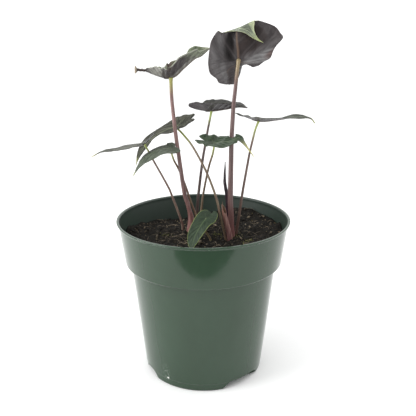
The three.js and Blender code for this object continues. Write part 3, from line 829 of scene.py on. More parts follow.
# Fibres, in mm. The listed ones lie about where the photograph shows them: x, y, length, direction in
# degrees and lift. The others are scattered.
fibres = {
    'listed': [(46, 55, 13, -38, 1.2), (-44, 54, 6, 5, 0.8), (-29, 36, 11, 3, 1.2), (-31, 11, 12, -6, 1.0),
               (-34, 8, 9, 38, 1.4), (-42, 30, 8, 52, 1.4), (-14, -6, 7, 30, 1.2), (50, 22, 6, 20, 1.0),
               (58, 10, 6, -25, 1.0), (63, 26, 5, 10, 1.2), (12, -22, 8, -12, 1.0), (37, -20, 7, 24, 1.0),
               (-25, 2, 11, -20, 1.2), (-20, 8, 9, 15, 1.0), (-27, -3, 12, 10, 1.3), (-22, -8, 8, -35, 1.0),
               (-33, 0, 10, 65, 1.3), (-39, -3, 9, -10, 1.1), (-17, -2, 7, 40, 1.0), (-24, 14, 8, -50, 1.2),
               (-29, 6, 7, 80, 1.4), (-36, 16, 9, -28, 1.1), (-46, 6, 8, 12, 1.0), (-19, -16, 9, 5, 1.1)],
    'listedTint': 0.95,
    'listedWidth': 1.5,
    'count': 420,
    'length': (2.5, 10),
    'radius': (0.1, 0.24),
    'lift': (0.1, 1.2),
    'bow': 0.18,
    'skin': 'fibres',
    'dark': (0.03, 0.023, 0.016),
    'pale': (0.36, 0.29, 0.21),
    'roughness': 0.85,
}


def smoothLumps(x, y):
    lumps = math.sin(x * 0.21 + 1) * math.cos(y * 0.19) + 0.6 * math.sin(x * 0.37 - y * 0.31)
    toRight, toBack = soil['slope']
    height = soil['height'] + toBack * y + toRight * x + soil['lumps'] * lumps
    for moundX, moundY, reach, rise in soil['mounds']:
        height += rise * math.exp(-((x - moundX) ** 2 + (y - moundY) ** 2) / reach ** 2)
    return height


def soilTop(x, y):
    place = Vector((x, y, 3.0))
    coarse = noise.fractal(place * 0.16, 0.8, 2.2, 3)
    fine = abs(noise.fractal(place * 0.62, 0.7, 2.1, 3))
    return smoothLumps(x, y) + soil['coarse'] * coarse + soil['fine'] * fine


def soilMesh():
    top = wallInside(soil['height']) - soil['side']
    clear = pot['wall'] + soil['side']
    ledge = pot['collarFootHeight'] + 1.7
    foot = pot['floor'] + soil['gap']
    line = [(0, foot), (pot['baseRadius'] - pot['wall'] - 1.4, foot),
            (pot['bodyTopRadius'] - clear, pot['bodyTopHeight']),
            (pot['bodyTopRadius'] + 0.2 - clear, ledge - 0.4),
            (pot['collarFootRadius'] - clear - 0.6, ledge + 0.6)]
    rings = soil['rings']
    line += [(top * (1 - i / rings), soil['height']) for i in range(rings + 1)]
    bm = spunMesh(line, soil['segments'])
    for vert in bm.verts:
        if vert.co.z > (soil['height'] - 1) * mm:
            x, y = vert.co.x / mm, vert.co.y / mm
            height = soilTop(x, y)
            spread = (wallInside(height) - soil['side']) / top
            vert.co = Vector((x * spread, y * spread, height)) * mm
    margin = pot['drainWall'] + soil['gap']
    return shaped(bm, [('DIFFERENCE', drainBlock(drain, margin)) for drain in pot['drains']])


def peatSkin():
    material, tree, shader = newMaterial('peat', soil['roughness'], 0.2)
    mottle = groupNode(tree, mottleGroup, Vector=objectPlace(tree, (260, 260, 260)), Low=0.5, High=0.72)
    crumbs = noiseNode(tree, objectPlace(tree), 900.0, 4.0, 0.7)
    colour = mixNode(tree, mottle['Patches'], soil['peat'], soil['peatBrown'])
    colour = mixNode(tree, rangeNode(tree, crumbs, 0.62, 0.8, 0.0, 0.6), colour, soil['peatPale'])
    feed(tree, colour, shader.inputs['Base Color'])
    feed(tree, bumpNode(tree, crumbs, 0.0008), shader.inputs['Normal'])
    return material


# The skin reads each bit's own tint, which is paler in some places of the pot than in others
def litterSkin(bits):
    material, tree, shader = newMaterial(bits['skin'], bits['roughness'], 0.3)
    tint = attributeNode(tree, 'tint')
    grain = noiseNode(tree, objectPlace(tree, (900, 900, 900)), 1.0, 3.0)
    share = sumNode(tree, 'MULTIPLY', tint, rangeNode(tree, grain, 0.25, 0.7, 0.55, 1.0))
    mottle = groupNode(tree, mottleGroup, Vector=objectPlace(tree, (42, 42, 42)), Low=0.38, High=0.6)
    clumps = sumNode(tree, 'MULTIPLY_ADD', mottle['Patches'], 0.8, 0.2)
    share = sumNode(tree, 'MULTIPLY', share, clumps)
    feed(tree, mixNode(tree, share, bits['dark'], bits['pale']), shader.inputs['Base Color'])
    feed(tree, bumpNode(tree, grain, 0.0003), shader.inputs['Normal'])
    return material


def randomSpot(chance, reach=0.96):
    radius = wallInside(soil['height']) * reach * math.sqrt(chance.random())
    angle = chance.uniform(0, 2 * math.pi)
    return radius * math.cos(angle), radius * math.sin(angle)


def randomTurn(chance, tilt):
    spin = Matrix.Rotation(chance.uniform(0, 2 * math.pi), 4, 'Z')
    leanX = Matrix.Rotation(chance.uniform(-tilt, tilt), 4, 'X')
    leanY = Matrix.Rotation(chance.uniform(-tilt, tilt), 4, 'Y')
    return spin @ (leanX @ leanY)


# Little faceted lumps. A high power of a random number makes most of them small and dark.
def lumpMesh(bits, chance):
    bm = bmesh.new()
    tint = bm.verts.layers.float.new('tint')
    spots = bits.get('spots')
    for i in range(bits['count']):
        x, y = randomSpot(chance)
        if spots:
            spotX, spotY = spots[i % len(spots)]
            x = chance.gauss(spotX, bits['spread'])
            y = chance.gauss(spotY, bits['spread'])
        size = mix(*bits['size'], chance.random() ** 2.5)
        z = soilTop(x, y) + size * bits['lift']
        widths = [size * part * chance.uniform(0.7, 1.3) * mm for part in bits['shape']]
        place = Matrix.Translation(Vector((x, y, z)) * mm)
        place = place @ randomTurn(chance, litterTilt) @ Matrix.Diagonal((*widths, 1))
        made = bmesh.ops.create_icosphere(bm, subdivisions=1, radius=1, matrix=place)['verts']
        shade = mix(*bits['tints'], chance.random() ** 3.5)
        for vert in made:
            offsets = [chance.uniform(-litterUnevenness, litterUnevenness) * size * mm for _ in range(3)]
            vert.co += Vector(offsets)
            vert[tint] = shade
    return bm


def fibreMesh(chance):
    bm = bmesh.new()
    tint = bm.verts.layers.float.new('tint')
    edge = wallInside(soil['height']) - 1
    shade, width = fibres['listedTint'], fibres['listedWidth']
    strands = [(x, y, length, math.radians(turn), lift, shade, width)
               for x, y, length, turn, lift in fibres['listed']]
    for _ in range(fibres['count']):
        x, y = randomSpot(chance, 0.9)
        length = mix(*fibres['length'], chance.random() ** 2)
        turn = chance.uniform(0, math.pi)
        lift = chance.uniform(*fibres['lift'])
        strands.append((x, y, length, turn, lift, chance.random() ** 2.5, 1))
    for x, y, length, turn, lift, shade, width in strands:
        reach = Vector((math.cos(turn), math.sin(turn))) * length / 2
        bow = Vector((-reach.y, reach.x)) * chance.uniform(-fibres['bow'], fibres['bow'])
        path = []
        for t in (-1, -0.33, 0.33, 1):
            spot = Vector((x, y)) + reach * t + bow * (1 - t * t)
            if spot.length > edge:
                spot = spot.normalized() * edge
            height = soilTop(spot.x, spot.y) + lift * (1.2 - abs(t)) + chance.uniform(-0.3, 0.3)
            path.append((spot.x, spot.y, height))
        radius = mix(*fibres['radius'], chance.random() ** 1.5) * width
        strand = sweptMesh(vectors(path), lambda share: radius * (1.15 - abs(share - 0.5)), 4, length / 5)
        mesh = bpy.data.meshes.new('strand')
        strand.to_mesh(mesh)
        strand.free()
        before = len(bm.verts)
        bm.from_mesh(mesh)
        bpy.data.meshes.remove(mesh)
        bm.verts.ensure_lookup_table()
        for vert in bm.verts[before:]:
            vert[tint] = shade
    return bm


def makeSoil():
    chance = random.Random(soil['seed'])
    addPiece('peat', soilMesh(), ['soil'], [peatSkin()])
    for name, bits in litter.items():
        addPiece(name, lumpMesh(bits, chance), [], [litterSkin(bits)])
    addPiece('peat_fibres', fibreMesh(chance), [], [litterSkin(fibres)])
    print('soil made')


makeSoil()


# Blades: the same leaves as in the solids, with finer edges, raised midribs, veins and pleats
bladeValues = {
    'thickness': 1.5,  # at the midrib
    'marginShare': 0.34,  # of that, away from the midrib
    'sheetPlace': -0.4,  # of the sheet in its thickness: -1 is its upper face and 1 its under face
    'ribWidth': 0.09,
    'ribBehind': 0.3,  # how far the thick midrib goes on behind the stalk
    'ribThinning': 0.6,
    'columns': 18,
    'rowsInTail': 12,
    'rowsBehind': 22,
    'rowsAhead': 56,
    'veinCount': 6.5,
    'veinSlope': 0.34,
    'pleatDepth': 0.24,
    'ruffle': 0.1,
    'phaseShift': 1.1,  # of the waves, back on the left and forward on the right margin
    'bumpPower': 3,  # over 2 gives a bump a flatter top
    'tailStart': (-0.9, -1.02),
    'tailEnd': (-1.72, -1.92),  # a drawn-out lobe opens again at its dried end
    'tailEndWidth': 3.2,
}

# Each leaf, in mm and degrees. Left and right are seen from above, looking to the tip of the leaf, and v is
# -1 at the ends of the back lobes, 0 at the stalk and 1 at the tip.
# rib, faces: points of the midrib, and where the upper side faces there; the stalk ends at the second point
# rises: how far the left and the right half are lifted, at v of -1, 0, 0.5 and 1
# wave: height, count and phase of the waves along the margins
# bumps: side (-1 left, 1 right), v, reach, extra width and extra lift of a part of the margin
# tail: side, length and half width of a lobe that is drawn out
# stalk, radii: points of its path, and its radius at the top, above its flared foot and at the foot
plainLeaf = {
    'lobes': (1, 1),  # length of the left and the right back lobe
    'lobeTip': 0.44,  # place of their ends, as a share of the half width
    'sinus': 0.3,  # the cleft between them stops this far behind the stalk, as a share of their length
    'taper': 1.15,  # a larger one gives a longer tip
    'relief': 1,
    'bumps': [],
    'tail': (0, 0, 0),
}
leaves = {
    'curled_leaf': {
        'rib': [(-49.5, 14, 268.6), (-28, 15, 267), (-16.5, 13.4, 275.6), (-7.5, 12, 283),
                (-1.5, 12.5, 285.6), (5.6, 13, 291.6)],
        'faces': [(0, 0, 1), (0, 0, 1), (-0.6, 0, 1), (-0.6, 0, 1), (-0.5, 0, 1), (-0.5, 0, 1)],
        'halfWidth': 14, 'rises': [(40, 52), (34, 38), (30, 42), (60, 40)], 'wave': (0.8, 3, 0.4),
        'taper': 0.8, 'bumps': [(-1, -0.03, 0.27, 1.9, 13.5), (-1, 0.7, 0.24, 3.0, 20)],
        'tail': (1, 9.5, 1.25),
        'stalk': [(-11.4, 17, 124), (-11.4, 17, 134), (-12, 17, 141), (-14.6, 17, 152.2),
                  (-17.8, 17, 164.2), (-22.6, 16, 201), (-24.5, 16, 216), (-26.1, 15, 232),
                  (-27.6, 15, 250), (-28, 15, 266.3)],
        'radii': (1.5, 2.2, 7.0), 'flarePower': 1.5,
    },
    'back_leaf': {
        'rib': [(-10.5, 29.5, 235.8), (7.2, 22, 237.5), (19, 17, 239.7), (30.2, 12, 242.2),
                (38.4, 8, 242.1)],
        'faces': [(0, 0, 1)] * 5,
        'halfWidth': 15.5, 'rises': [(42, 45), (33, 34), (20, 28), (16, 20)], 'lobes': (0.62, 1),
        'wave': (0.35, 2.0, 0), 'lobeTip': 0.5,
        'stalk': [(-7.8, 24, 124), (-6, 23, 145), (-4.6, 23, 161), (-1, 22, 191), (1.4, 22, 205.5),
                  (3.9, 22, 220), (5.9, 22, 230.4), (7.1, 22, 236.7)],
        'radii': (0.95, 1.6, 2.0),
    },
    'right_leaf': {
        'rib': [(29, 14, 236), (48.3, 8, 230.8), (63, 6, 232), (75, 5, 233.9), (85.5, 4, 234.6),
                (93.2, 4, 233.2), (97, 4, 229)],
        'faces': [(0, 0.16, 1), (0, 0.14, 1), (0, 0.1, 1), (0, -0.1, 1), (0, -0.17, 1), (0.4, -0.1, 1),
                  (1, -0.4, 0.4)],
        'halfWidth': 12, 'rises': [(-6, 6), (0, 13), (-2, 10), (0, 4)], 'wave': (0.6, 2.5, 1), 'taper': 1.4,
        'stalk': [(29.4, 3, 124), (32.6, 3, 148), (35.3, 4, 168), (39.1, 5, 192), (40.8, 6, 202),
                  (43.2, 7, 213), (45.6, 8, 223), (48.2, 8, 230)],
        'radii': (0.85, 1.4, 1.7),
    },
    'far_left_leaf': {
        'rib': [(-40.7, 12, 221.4), (-52.4, 12, 209.8), (-64.4, 11, 207), (-76.8, 10, 204.7),
                (-85, 8, 204.3), (-92, 7, 202.7), (-99.8, 6, 198.5)],
        'faces': [(-0.6, 0.1, 1), (-0.3, 0.05, 1), (0, 0.03, 1), (0, 0, 1), (0, -0.03, 1), (0, 0, 1),
                  (-0.3, -0.1, 1)],
        'halfWidth': 11, 'rises': [(8, 8), (8, 6), (4, 0), (0, 0)], 'wave': (0.6, 2.5, 2), 'taper': 1.7,
        'stalk': [(-19.8, 22, 124), (-21, 21.4, 134), (-29.8, 19, 161), (-33.4, 18, 170),
                  (-46.2, 16, 195.2), (-49.1, 14.5, 201.8), (-52.3, 12, 208.9)],
        'radii': (0.85, 1.15, 1.35),
    },
    'left_leaf': {
        'rib': [(-9.3, 28, 230.2), (-24.8, 32, 221.6), (-36.6, 36, 216.4), (-47.4, 37, 209.6),
                (-55.6, 36, 201), (-60.4, 34, 193.6), (-63.3, 32, 185.5)],
        'faces': [(-0.4, -0.1, 1), (-0.4, -0.1, 1), (-0.4, 0, 1), (-0.5, -0.1, 1), (-1, -0.45, 0.8),
                  (-1, -0.7, 0.4), (-1, -0.7, 0.2)],
        'halfWidth': 13.8, 'rises': [(-4, 8), (0, 22), (8, 14), (10, 10)], 'wave': (0.5, 2, 0),
        'taper': 1.45, 'relief': 0.4, 'lobes': (1.14, 1.05), 'sinus': 0.75,
        'stalk': [(20.6, -7, 124), (15.9, -7, 144.4), (12.1, -5, 162), (5.4, -1, 180.6), (-1.2, 3, 194),
                  (-10.2, 15, 207.3), (-18, 25, 215), (-24.3, 32, 220.3)],
        'radii': (0.85, 1.2, 1.4),
    },
    'low_left_leaf': {
        'rib': [(-24, 12, 207.6), (-29.3, 9, 206), (-39.9, 5, 205), (-50.3, 1, 199.5), (-56.7, -2, 193),
                (-61.6, -4, 184.2)],
        'faces': [(0.3, -0.2, 1), (0, -0.2, 1), (-0.2, -0.2, 1), (-0.5, -0.3, 1), (-0.8, -0.3, 1),
                  (-1, -0.3, 0.6)],
        'halfWidth': 12, 'rises': [(4, -6), (2, -6), (-4, -8), (-8, -8)], 'wave': (0.3, 2, 0),
        'sinus': 0.7, 'lobeTip': 0.4, 'lobes': (0.85, 1.1),
        'stalk': [(-4.4, 18, 124), (-7.5, 20, 140.6), (-12.4, 21, 154.7), (-17.2, 21, 170),
                  (-22.7, 19.5, 184.5), (-26.6, 13, 194.6), (-29.2, 9, 205.1)],
        'radii': (0.85, 1.15, 1.35),
    },
    'centre_leaf': {
        'rib': [(-5.2, -6, 217.6), (9.7, -10, 214.6), (16, -14.2, 216.2), (21.7, -16.5, 216.7),
                (26.4, -18, 219.2), (29.8, -18.5, 220.1), (33.3, -20, 217.5), (38.1, -22, 211.4),
                (42.9, -24, 205.1)],
        'faces': [(0, -0.1, 1), (0, -0.1, 1), (0, -0.15, 1), (0, -0.2, 1), (0, -0.2, 1), (0.4, -0.2, 1),
                  (1, -0.3, 0.6), (1, -0.3, 0.3), (1, -0.3, 0.2)],
        'halfWidth': 14, 'rises': [(8, 4), (10, 4), (2, 0), (0, 0)], 'wave': (0.8, 2.2, 1), 'taper': 1.6,
        'sinus': 0.55, 'bumps': [(-1, 0.28, 0.16, -2.2, -6)],
        'stalk': [(-4.3, 13.5, 124), (-2, 13.5, 147.3), (-0.5, 13, 161), (3.2, 11, 181.4),
                  (5.5, 7, 192.2), (8.2, 0, 202.8), (9.7, -9.5, 213.7)],
        'radii': (0.85, 1.15, 1.35),
    },
    'small_leaf': {
        'rib': [(9.4, -8.2, 153.4), (2.6, -13, 147.5), (-2.2, -20, 143.2), (-6.4, -31, 138.9),
                (-8.7, -42, 134.9), (-9.6, -50, 132.6)],
        'faces': [(-0.4, -1, 0.6), (-0.4, -1, 0.6), (-0.4, -0.8, 0.8), (-0.3, -0.6, 1), (-0.3, -0.5, 1),
                  (-0.3, -0.5, 1)],
        'halfWidth': 8.9, 'rises': [(10, 10), (10, 10), (10, 10), (10, 10)], 'lobes': (1.05, 0.7),
        'sinus': 0.9, 'lobeTip': 0.24, 'wave': (0.25, 2, 0), 'taper': 0.95,
        'stalk': [(6.6, -7, 124), (5.5, -7.4, 128), (2.2, -9, 134.4), (1.6, -10, 140),
                  (2.1, -12.4, 146.8)],
        'radii': (0.8, 1.1, 1.2),
    },
}


# Half widths from the back lobes (-1) past the stalk (0) to the tip (1)
def outerShare(v, taper, lobe):
    if v >= 0:
        return max(0, math.cos(math.pi / 2 * v ** 1.2)) ** taper
    return lobe + (1 - lobe) * math.sqrt(max(0, 1 - v * v))


def innerShare(v, sinus, lobe):
    k = max(0, (-v - sinus) / (1 - sinus))
    return lobe * (0.5 * k + 0.5 * (1 - math.sqrt(max(0, 1 - k * k))))


def riseAt(leaf, side, v):
    places = (-1, 0, 0.5, 1)
    column = 0 if side < 0 else 1
    i = 0
    while i < len(places) - 2 and v > places[i + 1]:
        i += 1
    share = smoothStep(v, places[i], places[i + 1])
    return mix(leaf['rises'][i][column], leaf['rises'][i + 1][column], share)


# The midrib's place and its own directions at v
def ribFrame(leaf, v):
    atStalk = 1 / (len(leaf['rib']) - 1)
    t = atStalk * (1 + v) if v < 0 else atStalk + (1 - atStalk) * v
    place = curvePoint(leaf['ribPoints'], t)
    along = curveDirection(leaf['ribPoints'], t)
    across = along.cross(curvePoint(leaf['facePoints'], t)).normalized()
    return place, along, across, across.cross(along).normalized()


# Low relief of one half: pleats along its veins, and a finely ruffled margin
def reliefAt(v, u):
    place = (abs(v) - bladeValues['veinSlope'] * u) * bladeValues['veinCount']
    middle = math.sin(math.pi * min(1, u * 1.1)) ** 0.7
    pleats = -bladeValues['pleatDepth'] * math.cos(2 * math.pi * place) * middle
    ruffle = bladeValues['ruffle'] * math.sin(v * 37 + u * 3) * smoothStep(u, 0.72, 1)
    return pleats + ruffle


def tailWidth(v, half):
    opening = smoothStep(v, *bladeValues['tailEnd'])
    return half * smoothStep(v, *bladeValues['tailStart']) * mix(1, bladeValues['tailEndWidth'], opening)


# A point of one half, with u from 0 at the midrib to 1 at the margin
def bladePoint(leaf, side, v, u):
    lobe = leaf['lobes'][0 if side < 0 else 1]
    inLobe = max(v, -1)
    place, along, across, normal = ribFrame(leaf, inLobe * lobe if inLobe < 0 else v)
    half = leaf['halfWidth']
    inner = innerShare(inLobe, leaf['sinus'], leaf['lobeTip']) * half
    outer = outerShare(inLobe, leaf['taper'], leaf['lobeTip']) * half
    tailSide, tailLength, tailHalf = leaf['tail']
    if side == tailSide:
        inner -= tailWidth(v, tailHalf)
        outer += tailWidth(v, tailHalf)
        place = place + along * (min(0, v + 1) * tailLength * mm)
    rise = riseAt(leaf, side, v)
    for bumpSide, middle, reach, width, lift in leaf['bumps']:
        if bumpSide == side:
            share = math.exp(-abs((v - middle) / reach) ** bladeValues['bumpPower'])
            outer += width * share
            rise += lift * share
    x = mix(inner, outer, u)
    angle = math.radians(rise)
    height, count, phase = leaf['wave']
    phase += side * bladeValues['phaseShift']
    wave = height * math.sin(2 * math.pi * count * v + phase) * (x / half) ** 2
    narrow = min(1, (outer - inner) / (0.5 * half))
    relief = reliefAt(v, u) * narrow * leaf['relief']
    outwards = across * side
    lifted = normal * math.cos(angle) - outwards * math.sin(angle)
    upwards = x * math.sin(angle) + wave
    return place + (outwards * x * math.cos(angle) + normal * upwards + lifted * relief) * mm


# A blade sheet from two grids, one for each half, joined along the midrib
def bladeMesh(pointAt, stations, columns, facesBack=False):
    bm = bmesh.new()
    leafMap = bm.loops.layers.uv.new('leaf')
    weights = bm.verts.layers.deform.verify()
    rows = len(stations) - 1
    share = bladeValues['marginShare']
    for side in (-1, 1):
        grid = bmesh.ops.create_grid(bm, x_segments=columns, y_segments=rows, size=0.5)['verts']
        faces = list({face for vert in grid for face in vert.link_faces})
        for face in faces:
            for loop in face.loops:
                u = loop.vert.co.x + 0.5
                v = stations[round((loop.vert.co.y + 0.5) * rows)]
                loop[leafMap].uv = ((side * u + 1) / 2, (v + 1) / 2)
        for vert in grid:
            u = vert.co.x + 0.5
            v = stations[round((vert.co.y + 0.5) * rows)]
            nearRib = math.exp(-(u / bladeValues['ribWidth']) ** 2) if v > -bladeValues['ribBehind'] else 0
            vert[weights][0] = mix(share, 1, nearRib * (1 - bladeValues['ribThinning'] * max(0, v)))
            vert.co = pointAt(side, v, u)
        if (side < 0) != facesBack:
            bmesh.ops.reverse_faces(bm, faces=faces)
    bmesh.ops.remove_doubles(bm, verts=bm.verts, dist=3e-5)
    bmesh.ops.dissolve_degenerate(bm, edges=bm.edges, dist=1e-6)
    return bm


# Values of v for the rows of a blade, closer together at its ends
def bladeStations(leaf):
    behind = bladeValues['rowsBehind']
    ahead = bladeValues['rowsAhead']
    inTail = bladeValues['rowsInTail'] if leaf['tail'][0] else 0
    stations = [i / inTail - 2 for i in range(inTail)]
    stations += [-math.cos(math.pi / 2 * (i / behind)) for i in range(behind)]
    stations += [1 - (1 - i / ahead) ** 1.15 for i in range(ahead + 1)]
    return stations


# Patches: middle and reach on the leaf's map, tone, strength and softness
# Some patches are the leaf's own marks and some are painted shade and painted highlights
def paintPatches(tree, leafMap, share, colour, patches):
    for middle, reach, tone, strength, softness in patches:
        mask = groupNode(tree, patchGroup, Map=leafMap.outputs[0], Middle=(*middle, 0), Reach=(*reach, 1),
                         Softness=softness, Wobble=softness * 0.7)['Mask']
        darker = tuple(0.72 * part for part in tone)
        paler = tuple(1.18 * part for part in tone)
        inside = mixNode(tree, share, darker, paler)
        colour = mixNode(tree, sumNode(tree, 'MULTIPLY', mask, strength), colour, inside)
    return colour


# The blade's skin on one side, with veins, midrib, margin, tip, patches and uneven streaks
# Some of the patches and margins are painted shade and painted highlights
def leafSkin(name, look):
    material, tree, shader = newMaterial(name, look['roughness'], look['gloss'])
    leafMap = tree.nodes.new('ShaderNodeUVMap')
    leafMap.uv_map = 'leaf'
    veins = groupNode(tree, veinGroup, Map=leafMap.outputs[0], Count=bladeValues['veinCount'],
                      Slope=bladeValues['veinSlope'], Width=look['veinWidth'], Rib=look['ribWidth'])
    mottle = groupNode(tree, mottleGroup, Vector=objectPlace(tree, (170, 170, 170)), Low=0.3, High=0.7)
    streaks = rangeNode(tree, veins['Streaks'], *look['streakRange'])
    share = sumNode(tree, 'MULTIPLY_ADD', streaks, 0.7, sumNode(tree, 'MULTIPLY', mottle['Patches'], 0.3))
    colour = mixNode(tree, share, look['dark'], look['pale'])
    colour = paintPatches(tree, leafMap, share, colour, look['patches'])
    pleats = rangeNode(tree, veins['Pleats'], -1.0, 1.0, 0.0, look['pleatTint'])
    colour = mixNode(tree, pleats, colour, look['dark'])
    veinShare = sumNode(tree, 'MULTIPLY', veins['Veins'], look['veinStrength'])
    colour = mixNode(tree, veinShare, colour, look['vein'])
    rim = rangeNode(tree, veins['Margin'], look['rimStart'], 0.99, 0.0, look['rimStrength'])
    colour = mixNode(tree, rim, colour, look['rim'])
    colour = paintPatches(tree, leafMap, share, colour, look['overRim'])
    ribShare = sumNode(tree, 'MULTIPLY', veins['Midrib'], look['ribStrength'])
    colour = mixNode(tree, ribShare, colour, look['rib'])
    colour = mixNode(tree, rangeNode(tree, veins['Along'], *look['tipRange']), colour, look['tip'])
    flecks = rangeNode(tree, mottle['Grain'], 0.6, 0.8, 0.0, look['fleckStrength'])
    colour = mixNode(tree, flecks, colour, look['dark'])
    feed(tree, colour, shader.inputs['Base Color'])
    smooth, rough = look['roughness'] - 0.06, look['roughness'] + 0.08
    feed(tree, rangeNode(tree, mottle['Grain'], 0.25, 0.75, smooth, rough), shader.inputs['Roughness'])
    fine = sumNode(tree, 'MULTIPLY', veins['Veins'], 0.4)
    relief = sumNode(tree, 'MULTIPLY_ADD', veins['Streaks'], 0.8, fine)
    feed(tree, bumpNode(tree, relief, look['bump']), shader.inputs['Normal'])
    return material


# What a skin has where its look says nothing else
plainLook = {
    'roughness': 0.38, 'gloss': 0.5, 'streakRange': (0.36, 0.66), 'pleatTint': 0.3, 'fleckStrength': 0.25,
    'veinWidth': 0.16, 'veinStrength': 0.3, 'ribWidth': 0.1, 'ribStrength': 0.8, 'rimStart': 0.9,
    'rimStrength': 0.3, 'tipRange': (0.9, 1.0), 'bump': 0.0004, 'patches': [], 'overRim': [],
}
underPurple = {
    **plainLook, 'gloss': 0.35, 'dark': (0.032, 0.026, 0.028), 'pale': (0.1, 0.09, 0.092),
    'vein': (0.13, 0.115, 0.115), 'rim': (0.035, 0.022, 0.022), 'rib': (0.13, 0.09, 0.06),
    'tip': (0.26, 0.28, 0.14),
}
upperOlive = {
    **plainLook, 'gloss': 0.25, 'roughness': 0.45, 'dark': (0.018, 0.022, 0.014),
    'pale': (0.06, 0.068, 0.046), 'vein': (0.11, 0.125, 0.085), 'rim': (0.09, 0.1, 0.07),
    'rib': (0.16, 0.19, 0.11), 'tip': (0.36, 0.38, 0.14),
}
upperGreen = {
    **plainLook, 'gloss': 0.25, 'roughness': 0.45, 'dark': (0.018, 0.034, 0.017),
    'pale': (0.05, 0.078, 0.04), 'vein': (0.07, 0.1, 0.055), 'rim': (0.1, 0.125, 0.07),
    'rib': (0.09, 0.125, 0.06), 'tip': (0.5, 0.47, 0.2),
}
upperPale = {
    **plainLook, 'dark': (0.085, 0.1, 0.072), 'pale': (0.26, 0.3, 0.21), 'vein': (0.42, 0.48, 0.33),
    'rim': (0.46, 0.5, 0.3), 'rib': (0.48, 0.55, 0.35), 'tip': (0.4, 0.45, 0.19),
}

# Both sides of curled_leaf have these patches over its withered lobe and its dried end
witheredLobe = [
    ((0.9, -0.2), (0.9, 0.2), (0.05, 0.03, 0.025), 0.95, 0.2),
    ((0.9, -0.48), (0.9, 0.07), (0.4, 0.33, 0.24), 0.95, 0.3),
]

